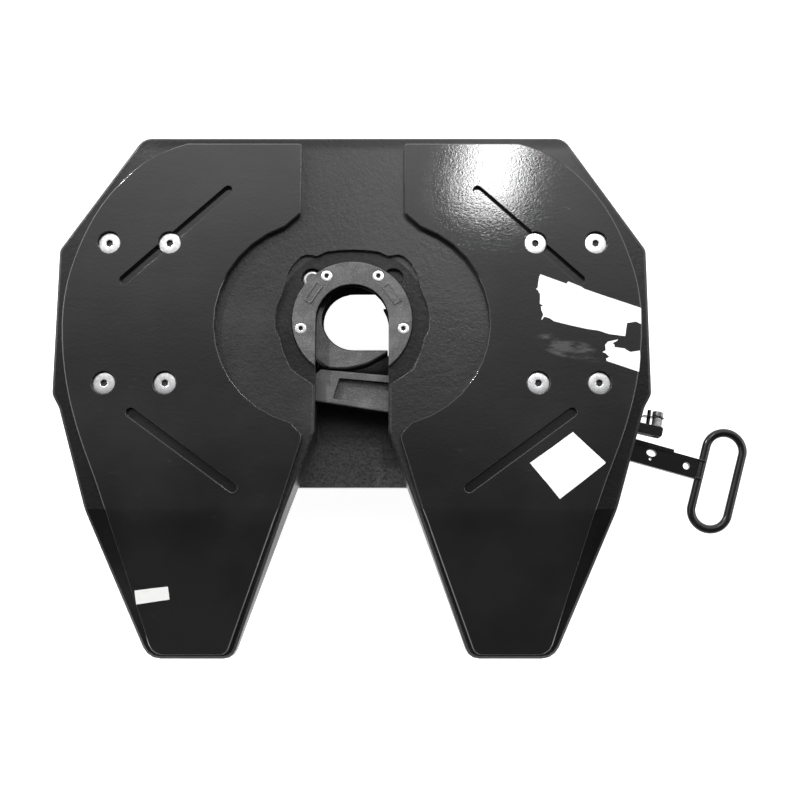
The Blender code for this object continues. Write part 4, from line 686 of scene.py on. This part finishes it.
def mouth_lead(piece):
    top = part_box("lock_jaw")[1].z

    def on_mouth(at):
        return at.z > top - TOP_SLACK and abs((at - MOUTH).xy.length - MOUTH_RADIUS) < 0.0012

    pick_edges(piece, on_mouth)
    bpy.ops.mesh.bevel(offset=0.0055, segments=3, clamp_overlap=True)


def refinished(piece, look, test):
    """Gives a second finish to the faces that pass a test."""
    piece.data.materials.append(finish[look])
    for polygon in piece.data.polygons:
        polygon.material_index = int(bool(test(polygon.center, polygon.normal)))


def rear_chamfer(piece):
    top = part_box("lock_bar")[1].z
    middle = spot(0, BAR_MIDDLE)
    side = Vector((-math.sin(SLIDE_TURN), math.cos(SLIDE_TURN)))
    pick_edges(piece, lambda at: at.z > top - TOP_SLACK and (at - middle).xy.dot(side) < -0.0275)
    bpy.ops.mesh.bevel(offset=0.0040, segments=1, clamp_overlap=True)


def pin_chamfer(piece):
    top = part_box("jaw_pivot_pin")[1].z
    pick_edges(piece, lambda at: at.z > top - TOP_SLACK)
    bpy.ops.mesh.bevel(offset=0.0035, segments=1, clamp_overlap=True)


def faces_point(point, steepest):
    """Test for walls that look towards a point, seen from above."""
    def test(centre, normal):
        return abs(normal.z) < steepest and normal.xy.dot(point.xy - centre.xy) > 0

    return test


# Painted shade: the black matt finish goes on ring and jaw walls that face the kingpin, and on all
# the bar's walls.
refinished(ring, "black_painted_shade", faces_point(spot(0, 0), 0.5))
jaw = rolled_copy(
    "lock_jaw", "jaw_forging", "lock_jaw", "lock_metal", 0.0012, mouth_lead, "jaw_metal")
refinished(jaw, "black_painted_shade", faces_point(MOUTH, 0.8))
bar = rolled_copy("lock_bar", "bar_forging", "lock_bar", "lock_metal", 0.0014, rear_chamfer)
refinished(bar, "black_painted_shade", lambda centre, normal: abs(normal.z) < 0.6)
pin = rolled_copy(
    "jaw_pivot_pin", "pin_turned", "coupling_plate", "lock_metal", 0.0006, pin_chamfer)
refinished(pin, "worn_steel", lambda centre, normal: 0.3 < normal.z < 0.95)

# %% [markdown]
# The liners get a slightly rolled rim, and their two long grooves are milled deeper than the model
# has them, with sloping walls. The crease where the ramp begins is cut across nine times and eased
# over three centimetres, so that the light fades across it and doesn't break.

# %% Liners
GROOVE_DEEPER = 0.0045
CUTS = 9


def milled(piece):
    def floor_of_groove(centre, normal):
        return normal.z > 0.97 and 0.0045 < solid_height(centre.y) - centre.z < 0.0055

    pick_faces(piece, floor_of_groove)
    bpy.ops.transform.translate(value=(0, 0, -GROOVE_DEEPER))
    bpy.ops.mesh.region_to_loop()
    bpy.ops.mesh.bevel(offset=0.0055, segments=4, profile=0.5, clamp_overlap=True)
    for step in range(CUTS):
        bpy.ops.mesh.select_all(action="SELECT")
        line = (0, AXIS_Y + EASE_START - EASE * step / 7, 0)
        bpy.ops.mesh.bisect(plane_co=line, plane_no=(0, 1, 0))
    object_mode()
    for vert in piece.data.vertices:
        if abs(solid_height(vert.co.y) - vert.co.z) < TOP_SLACK:
            vert.co.z = liner_height(vert.co.y)
    edit_mode()


for side in ("left", "right"):
    rolled_copy(
        f"liner_{side}", f"liner_plate_{side}", "coupling_plate", "liner_polymer", 0.0005, milled)

# %% [markdown]
# ## Socket screws
# Eight countersunk screws hold the liners and four cap screws hold the wear ring. A real head has
# a rolled rim, a conical lead-in and a hexagon socket, and it is those three rings of light and
# dark that the eye reads as a screw. One screw of each kind is made: a cylinder whose upper face
# is inset for the rim and the lead-in, whose innermost loop is pushed onto a hexagon, and which is
# then sunk for the socket. The shank grows out of the lower face. The other screws are copies.

# %% A screw with a hexagon socket
def socket_screw(name, head, height, cone, shank, length, socket):
    """Screw with its head's top at z = 0. Head and shank are radii, the socket is across flats."""
    clear_selection()
    bpy.ops.mesh.primitive_cylinder_add(
        vertices=48, radius=head, depth=height, location=(0, 0, -height / 2))
    piece = bpy.context.object
    piece.name = name
    bpy.ops.object.transform_apply(location=True)
    edit_mode()
    pick_faces(piece, lambda centre, normal: normal.z < -0.9)
    extrude((0, 0, -cone))
    factor = shank / head
    bpy.ops.transform.resize(value=(factor, factor, 1), center_override=(0, 0, -height - cone))
    extrude((0, 0, -length))
    rim = head * 0.06
    pick_faces(piece, lambda centre, normal: normal.z > 0.9)
    bpy.ops.mesh.inset(thickness=rim, depth=rim * 0.6)
    lead = socket / 2 * 1.24
    bpy.ops.mesh.inset(thickness=head - rim - lead)
    bpy.ops.mesh.inset(thickness=lead - socket / 2 * 1.12, depth=-socket * 0.05)
    object_mode()
    data = bmesh.new()
    data.from_mesh(piece.data)
    top = [f for f in data.faces if f.normal.z > 0.9 and f.calc_center_median().xy.length < 1e-4][0]
    for vert in top.verts:
        turn = math.atan2(vert.co.y, vert.co.x)
        reach = socket / 2 / math.cos((turn % (math.pi / 3)) - math.pi / 6)
        vert.co.x = reach * math.cos(turn)
        vert.co.y = reach * math.sin(turn)
    data.to_mesh(piece.data)
    data.free()
    edit_mode()
    pick_faces(piece, lambda centre, normal: normal.z > 0.9 and centre.xy.length < 1e-4)
    sunk = -height * 0.6 - cone * 0.4
    extrude((0, 0, sunk))
    object_mode()
    # The inside of the socket takes the second finish, painted shade.
    piece.data.materials.append(finish["zinc_plate"])
    piece.data.materials.append(finish["socket_painted_shade"])
    for polygon in piece.data.polygons:
        inside = polygon.center.xy.length < socket / 2 * 1.05
        polygon.material_index = int(inside and polygon.center.z > -height - cone)
    return piece


def copies_of(piece, name, places, turns, node):
    """Copies with their own meshes, each turned a little and standing for one node."""
    for number, place in enumerate(places, 1):
        clear_selection()
        twin = bpy.data.objects.new(f"{name}_{number}", piece.data.copy())
        bpy.context.scene.collection.objects.link(twin)
        turned = Matrix.Rotation(math.radians(turns * number * number), 4, "Z")
        twin.data.transform(Matrix.Translation(place) @ turned)
        settle(twin, None, "coupling_plate")
        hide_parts(f"{node}_{number}")
    bpy.data.objects.remove(piece)


LINER_SCREW_TOP, RING_SCREW_TOP, RING_SCREW_CIRCLE = 218.6, 213.5, 84
liner_places = []
for side in (1, -1):
    for x, y in ((395, 126), (297, 126), (394, -106), (297, -106)):
        liner_places.append(spot(side * x, y, LINER_SCREW_TOP))
pattern = socket_screw("screw_pattern", 0.0177, 0.0012, 0.0068, 0.0100, 0.0160, 0.0105)
copies_of(pattern, "liner_screw_head", liner_places, 23, "liner_screw")
ring_places = []
for angle in (60.1, 119.9, -10.3, 190.3):
    turn = math.radians(angle)
    x, y = RING_SCREW_CIRCLE * math.cos(turn), RING_SCREW_CIRCLE * math.sin(turn)
    ring_places.append(spot(x, y, RING_SCREW_TOP))
pattern = socket_screw("screw_pattern", 0.0090, 0.0057, 0.0002, 0.0060, 0.0110, 0.0072)
copies_of(pattern, "ring_screw_head", ring_places, 17, "wear_ring_screw")
print("screws", len(liner_places) + len(ring_places))

# %% [markdown]
# ## Hand loop and handle
# The handle is a flat bar with a bent round rod welded across its end. The rod is made as a bender
# would make it: a round section is swept half way round one end, along the straight, half way
# round the other end and back. The solid handle is replaced by the bar and this rod.

# %% Directions of the handle and its loop
HANDLE_TURN = math.radians(-15.9)
HANDLE_WAY = Vector((math.cos(HANDLE_TURN), math.sin(HANDLE_TURN), 0))
HANDLE_SIDE = Vector((-HANDLE_WAY.y, HANDLE_WAY.x, 0))
PIVOT_X = 236.0
HANDLE_PIVOT = spot(PIVOT_X, -144.46, 0)
SKIRT_X = 478.0 - 5.9
BAR_LENGTH = 338.0
HANDLE_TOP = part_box("catch_plate")[1].z
LOOP_TURN = math.radians(-16.3)
LOOP_LINE = Vector((-math.sin(LOOP_TURN), math.cos(LOOP_TURN), 0))
LOOP_OUT = Vector((math.cos(LOOP_TURN), math.sin(LOOP_TURN), 0))


def on_handle(distance, offset, height):
    """Point on the handle, in millimetres from its pivot and from its middle line."""
    place = HANDLE_PIVOT + HANDLE_WAY * distance / 1000 + HANDLE_SIDE * offset / 1000
    return Vector((place.x, place.y, height))


ROD_MIDDLE = HANDLE_TOP - 0.005
LOOP_RADIUS = 0.0297
LOOP_HALF = 0.0507
LOOP_CENTRE = on_handle(339.8, 0, ROD_MIDDLE) + LOOP_OUT * LOOP_RADIUS - LOOP_LINE * 0.009
print("loop centre", [round(v, 4) for v in LOOP_CENTRE])

# %% The bent rod
def hand_loop():
    clear_selection()
    far = LOOP_CENTRE + LOOP_LINE * LOOP_HALF
    near = LOOP_CENTRE - LOOP_LINE * LOOP_HALF
    bpy.ops.mesh.primitive_circle_add(
        vertices=24, radius=0.0069, location=far - LOOP_OUT * LOOP_RADIUS,
        rotation=(math.pi / 2, 0, LOOP_TURN))
    piece = bpy.context.object
    piece.name = "hand_loop"
    edit_mode()
    bpy.ops.mesh.select_all(action="SELECT")
    bpy.ops.mesh.spin(steps=28, angle=math.pi, center=far, axis=(0, 0, 1))
    run = LOOP_LINE * LOOP_HALF
    extrude(-run)
    extrude(-run)
    bpy.ops.mesh.spin(steps=28, angle=math.pi, center=near, axis=(0, 0, 1))
    extrude(run)
    extrude(run)
    bpy.ops.mesh.select_all(action="SELECT")
    bpy.ops.mesh.remove_doubles(threshold=0.00005)
    bpy.ops.mesh.normals_make_consistent(inside=False)
    object_mode()
    return settle(piece, finish["painted_steel"], "release_handle")


loop = hand_loop()
print("loop", len(loop.data.polygons), "faces")

# %% [markdown]
# The flat bar is a disc round the pivot and a long box, joined by a Boolean. The same modifier
# cuts the holes: the pivot's bore, a long hole and a small round one beside it near the
# skirt, and the hole before the loop. The Bevel modifier then rolls every edge by most of a
# millimetre, as drawn flat bar has.

# %% The flat bar
def drilled(piece, holes):
    """Cuts round holes through a flat piece, each as (centre, radius, stretch along the handle)."""
    for centre, radius, stretch in holes:
        clear_selection()
        bpy.ops.mesh.primitive_cylinder_add(vertices=40, radius=radius, depth=0.05, location=centre)
        tool = bpy.context.object
        tool.scale = ((radius + stretch) / radius, 1, 1)
        tool.rotation_euler.z = HANDLE_TURN
        boolean(piece, tool, "DIFFERENCE")


def flat_bar():
    clear_selection()
    bpy.ops.mesh.primitive_cylinder_add(
        vertices=64, radius=0.024, depth=0.0098, location=on_handle(0, 0, ROD_MIDDLE))
    piece = bpy.context.object
    piece.name = "handle_bar"
    clear_selection()
    bpy.ops.mesh.primitive_cube_add(size=1, location=on_handle(BAR_LENGTH / 2, 0, ROD_MIDDLE))
    bar = bpy.context.object
    bar.scale = (BAR_LENGTH / 1000, 0.033, 0.0097)
    bar.rotation_euler.z = HANDLE_TURN
    boolean(piece, bar, "UNION")
    start = (SKIRT_X - PIVOT_X) / HANDLE_WAY.x
    drilled(piece, [
        (HANDLE_PIVOT + Vector((0, 0, HANDLE_TOP)), 0.0093, 0.0),
        (on_handle(start + 10.8, 5, HANDLE_TOP), 0.0055, 0.0025),
        (on_handle(start + 11.2, -5, HANDLE_TOP), 0.0022, 0.0),
        (on_handle(315.4, 0, HANDLE_TOP), 0.0055, 0.0),
    ])
    add_modifier(piece, "rolled", "BEVEL", width=0.0008, segments=3,
                 limit_method="ANGLE", angle_limit=math.radians(40))
    return settle(piece, finish["painted_steel"], "release_handle")


handle_bar = flat_bar()
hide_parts("release_handle")
print("handle bar", len(handle_bar.data.polygons), "faces")

# %% [markdown]
# ## Weld beads
# A hand-laid bead is a row of small overlapping ripples. Each bead is a ring of points that is
# extruded a step at a time and alternately swollen and drawn in, and closed at both ends. Two
# beads join the rod to the flat bar, above and below, and two more cross the rod at its corners.

# %% Beads on the loop
def weld_bead(name, start, end, radius, body):
    clear_selection()
    run = end - start
    steps = max(6, round(run.length / 0.0022))
    turn = run.to_track_quat("Z", "Y").to_euler()
    bpy.ops.mesh.primitive_circle_add(
        vertices=14, radius=radius * 0.5, fill_type="NGON", location=start, rotation=turn)
    piece = bpy.context.object
    piece.name = name
    edit_mode()
    bpy.ops.mesh.select_all(action="SELECT")
    width = radius * 0.5
    for step in range(1, steps + 1):
        share = step / steps
        wanted = radius * (0.88 + 0.16 * (step % 2)) * (1 if 0 < step < steps else 0.45)
        extrude(run / steps)
        factor = wanted / width
        bpy.ops.transform.resize(value=(factor,) * 3, center_override=start + run * share)
        width = wanted
    normals_outward()
    object_mode()
    add_modifier(piece, "smooth", "SUBSURF", levels=1, render_levels=1)
    return settle(piece, finish["painted_steel"], body)


for level, height in (("top", HANDLE_TOP - 0.0004), ("under", HANDLE_TOP - 0.0096)):
    one = on_handle(336.5, -15.5, height)
    two = on_handle(336.5, 15.5, height)
    weld_bead(f"loop_weld_{level}", one, two, 0.0030, "release_handle")
for name, offset in (("front", 16.4), ("rear", -16.4)):
    one = on_handle(331.5, offset * 0.92, HANDLE_TOP - 0.0004)
    two = on_handle(344.5, offset * 0.92, HANDLE_TOP + 0.0018)
    weld_bead(f"loop_weld_{name}", one, two, 0.0034, "release_handle")
print("beads laid")

# %% [markdown]
# ## Stop screw and catch
# Beside the handle an adjustable stop sticks out of the skirt: a hexagon head, a knurled nut, a
# thin plate under them and a guide rod. On the bar's front edge lies the raised catch. The turned
# pieces start as a cylinder along the screw's direction, and the plate and the catch as a box.

# %% Small pieces beside the handle
STOP_ANGLE = math.radians(80)
STOP_WAY = Vector((math.cos(STOP_ANGLE), math.sin(STOP_ANGLE), 0))
STOP_TURN = (0, math.pi / 2, STOP_ANGLE)
STOP_HEIGHT = 182.0


def turned(name, x, y, length, radius, sides, look, knurl=0.0):
    """Round or six-sided piece that begins at a place and runs along the stop screw."""
    clear_selection()
    place = spot(x, y, STOP_HEIGHT) + STOP_WAY * length / 2
    bpy.ops.mesh.primitive_cylinder_add(
        vertices=sides, radius=radius, depth=length, location=place, rotation=STOP_TURN)
    piece = bpy.context.object
    piece.name = name
    if knurl:
        for vert in piece.data.vertices[:]:
            if vert.index // 2 % 2:
                vert.co.x *= 1 - knurl
                vert.co.y *= 1 - knurl
    add_modifier(piece, "rolled", "BEVEL", width=0.0009, segments=2,
                 limit_method="ANGLE", angle_limit=math.radians(50))
    return settle(piece, finish[look], "coupling_plate")


def flat_piece(name, place, turn, size, look, body):
    clear_selection()
    bpy.ops.mesh.primitive_cube_add(size=1, location=place, rotation=(0, 0, turn))
    piece = bpy.context.object
    piece.name = name
    piece.scale = size
    bpy.ops.object.transform_apply(location=False, rotation=False, scale=True)
    add_modifier(piece, "rolled", "BEVEL", width=0.0005, segments=2)
    return settle(piece, finish[look], body)


head = turned("stop_head", 492.2, -154.2, 0.0082, 0.0092, 6, "weathered_zinc")
knurled = turned("stop_knurl", 489.4, -170.4, 0.0140, 0.0084, 48, "weathered_zinc", knurl=0.06)
rod = turned("stop_rod", 474.6, -172.0, 0.0300, 0.0030, 20, "painted_steel")
shim = flat_piece("stop_shim", spot(484.8, -155.0, STOP_HEIGHT), math.radians(-9),
                  (0.0345, 0.0013, 0.016), "painted_steel", "coupling_plate")
catch = flat_piece("catch_strip", on_handle(258, 16.5, HANDLE_TOP - 0.0040), HANDLE_TURN,
                   (0.066, 0.008, 0.0094), "painted_steel", "release_handle")
for piece, node in ((head, "stop_screw"), (knurled, "stop_nut"), (rod, "stop_guide"),
                    (shim, "stop_plate"), (catch, "catch_plate")):
    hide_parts(node)
print("stop and catch made")

# %% [markdown]
# ## Return spring
# The spring that pulls the lock bar shut hooks over a peg on the casting and one on the bar. The
# wire is bent from a curve and made a mesh.

# %% The spring's wire
SLIDE_WAY = Vector((math.cos(SLIDE_TURN), math.sin(SLIDE_TURN), 0))
SLIDE_SIDE = Vector((-SLIDE_WAY.y, SLIDE_WAY.x, 0))
SPRING_BASE = spot(0, BAR_MIDDLE, 177.0)


def by_spring(distance, side=0.0, rise=0.0):
    """Point beside the spring's axis, in millimetres along the slide, sideways and up."""
    beside = SLIDE_SIDE * (side - 48) / 1000
    return SPRING_BASE + SLIDE_WAY * distance / 1000 + beside + Vector((0, 0, rise / 1000))


def return_spring():
    points = []
    for k in range(17):
        angle = math.radians(-40 - 17.5 * k)
        points.append(by_spring(105 + 7.55 * math.cos(angle), 7.55 * math.sin(angle)))
    points.append(by_spring(123))
    turns = 9
    for k in range(turns * 20 + 1):
        angle = math.radians(90 + 18 * k)
        share = k / (turns * 20)
        points.append(by_spring(129 + 72 * share, 9 * math.cos(angle), 9 * math.sin(angle)))
    points.append(by_spring(207))
    for k in range(17):
        angle = math.radians(140 - 17.5 * k)
        points.append(by_spring(225 + 7.55 * math.cos(angle), 7.55 * math.sin(angle)))
    wire = bpy.data.curves.new("return_spring", "CURVE")
    wire.dimensions = "3D"
    wire.bevel_depth = 0.0017
    wire.bevel_resolution = 3
    wire.use_fill_caps = True
    line = wire.splines.new("POLY")
    line.points.add(len(points) - 1)
    for point, place in zip(line.points, points):
        point.co = (*place, 1)
    piece = bpy.data.objects.new("return_spring", wire)
    bpy.context.scene.collection.objects.link(piece)
    only(piece)
    bpy.ops.object.convert(target="MESH")
    piece = bpy.context.object
    bpy.ops.object.shade_smooth()
    piece.data.materials.clear()
    piece.data.materials.append(finish["spring_steel"])
    by_spring(116)
    by_spring(214)
    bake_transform(piece)
    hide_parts("lock_bar_spring")
    return piece


spring = return_spring()
print("spring", len(spring.data.vertices), "points")

# %% [markdown]
# ## Rubber cushions
# Between each bracket's saddle and the plate sits a half-round rubber cushion. Moulded rubber has
# round edges and flow grooves across its length. A strip with the cushion's section is extruded
# round the arc in small steps, every third step is drawn in for a groove, and a bevel rounds it.

# %% Cushions
def rubber_cushion(node, name):
    low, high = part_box(node)
    middle = Vector(((low.x + high.x) / 2, AXIS_Y, 0.135))
    width = high.x - low.x - 0.0004
    clear_selection()
    bpy.ops.mesh.primitive_plane_add(size=1, location=middle + Vector((0, 0.05735, 0)))
    piece = bpy.context.object
    piece.name = name
    edit_mode()
    bpy.ops.mesh.select_all(action="SELECT")
    bpy.ops.transform.resize(value=(width, 0.0094, 1), center_override=piece.location)
    bpy.ops.transform.rotate(value=math.radians(-22.5), orient_axis="X", center_override=middle)
    bpy.ops.mesh.spin(steps=45, angle=-math.radians(135), center=middle, axis=(1, 0, 0))
    normals_outward()
    object_mode()
    piece.data.transform(Matrix.Translation(piece.location))
    piece.location = (0, 0, 0)
    for vert in piece.data.vertices:
        arm = Vector((0, vert.co.y - middle.y, vert.co.z - middle.z))
        turn = math.degrees(math.atan2(arm.z, arm.y))
        groove = abs((turn - 22.5) % 9 - 4.5) < 1.0
        if groove and abs(vert.co.x - middle.x) > width * 0.4:
            vert.co.x -= math.copysign(0.0012, vert.co.x - middle.x)
    add_modifier(piece, "soft", "BEVEL", width=0.0009, segments=2,
                 limit_method="ANGLE", angle_limit=math.radians(50))
    settle(piece, finish["rubber"], "stand")
    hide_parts(node)
    return piece


for node in ("cushion_left", "cushion_right"):
    made = rubber_cushion(node, node.replace("cushion", "bearing_rubber"))
    low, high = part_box(node)
    print(made.name, [round(v, 4) for v in made.dimensions], [round(v, 4) for v in high - low])

# %% [markdown]
# ## Raised frames on the wear ring
# The ring carries two small raised frames, cast with it. A frame is a flat cube whose upper face
# is inset, and the inner face is pushed down to leave a low rim.

# %% Frames on the ring
def ring_frame(name, x, y, turn):
    clear_selection()
    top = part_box("wear_ring")[1].z
    bpy.ops.mesh.primitive_cube_add(size=1, location=spot(x, y, 0) + Vector((0, 0, top)))
    piece = bpy.context.object
    piece.name = name
    piece.scale = (0.036, 0.0125, 0.0026)
    piece.rotation_euler.z = math.radians(turn)
    bpy.ops.object.transform_apply(location=True, rotation=True, scale=True)
    edit_mode()
    pick_faces(piece, lambda centre, normal: normal.z > 0.9)
    bpy.ops.mesh.inset(thickness=0.0013)
    bpy.ops.mesh.inset(thickness=0.0004, depth=-0.0012)
    object_mode()
    add_modifier(piece, "rounded", "BEVEL", width=0.0003, segments=2)
    return settle(piece, finish["lock_metal"], "coupling_plate")


ring_frame("ring_frame_left", -62.8, 44.2, 56)
ring_frame("ring_frame_right", 63.3, 42.4, -56)
print("frames on the ring")

# %% [markdown]
# ## Floor and light
# The photograph is a plain studio one, white all round, with soft light from above. The floor is a
# large plane that gives off its own light, and it isn't part of the object.
# Black paint shows only what it reflects. So one long lamp is mirrored as the bright band on the
# right liner, a small key lamp draws the edges, two broad lamps light the sides, and the sky is
# brighter towards the front, with white haze near the horizon.

# %% Floor, sky and lights
clear_selection()
bpy.ops.mesh.primitive_plane_add(size=160, location=(0, 0, 0))
floor = bpy.context.object
floor.name = "floor"
pale = Recipe("floor_pale", roughness=0.7)
mottle = pale.noise(1.5, 2.0)
pale.set("Base Color", pale.mix(mottle * 0.2, (0.60, 0.60, 0.60), (0.57, 0.57, 0.57)))
pale.shader.inputs["Emission Color"].default_value = (1, 1, 1, 1)
pale.shader.inputs["Emission Strength"].default_value = 0.9
floor.data.materials.append(pale.look)

sky = bpy.data.worlds.new("studio")
sky.use_nodes = True
tree = sky.node_tree
way = tree.nodes.new("ShaderNodeSeparateXYZ")
tree.links.new(tree.nodes.new("ShaderNodeTexCoord").outputs["Generated"], way.inputs[0])


def chain(socket, *steps):
    """Math nodes one after the other, each as (operation, its second value)."""
    for operation, value in steps:
        step = tree.nodes.new("ShaderNodeMath")
        step.operation = operation
        tree.links.new(socket, step.inputs[0])
        step.inputs[1].default_value = value
        socket = step.outputs[0]
    return socket


haze = chain(way.outputs["Z"], ("SUBTRACT", 0.22), ("MULTIPLY", -10.0),
             ("MAXIMUM", 0.0), ("MINIMUM", 1.0))
glow = chain(way.outputs["Y"], ("MAXIMUM", 0.0), ("POWER", 2.5), ("MULTIPLY", 22.0),
             ("ADD", 0.13), ("MINIMUM", 2.2))
sum_up = tree.nodes.new("ShaderNodeMath")
sum_up.operation = "MAXIMUM"
tree.links.new(glow, sum_up.inputs[0])
tree.links.new(haze, sum_up.inputs[1])
tree.nodes["Background"].inputs["Color"].default_value = (1, 1, 1, 1)
tree.links.new(sum_up.outputs[0], tree.nodes["Background"].inputs["Strength"])
bpy.context.scene.world = sky
bpy.context.scene.view_settings.view_transform = "Standard"


def soft_light(name, place, target, size, power):
    lamp = bpy.data.lights.new(name, "AREA")
    lamp.shape = "RECTANGLE"
    lamp.size, lamp.size_y = size
    lamp.energy = power
    made = bpy.data.objects.new(name, lamp)
    made.location = place
    made.rotation_euler = (Vector(target) - Vector(place)).to_track_quat("-Z", "Y").to_euler()
    bpy.context.scene.collection.objects.link(made)


soft_light("glare", (0.318, 1.24, 2.2), (0.16, 0.36, 0.22), (0.15, 0.44), 8.5)
soft_light("key", (-1.6, 1.8, 1.5), (0.3, 0.0, 0.2), (0.10, 0.10), 60)
soft_light("left", (-2.6, 0.3, 1.5), (-0.2, 0.0, 0.2), (1.6, 1.6), 30)
soft_light("right", (2.6, 0.3, 1.5), (0.2, 0.0, 0.2), (1.6, 1.6), 30)
print("lights", [light.name for light in bpy.data.lights])
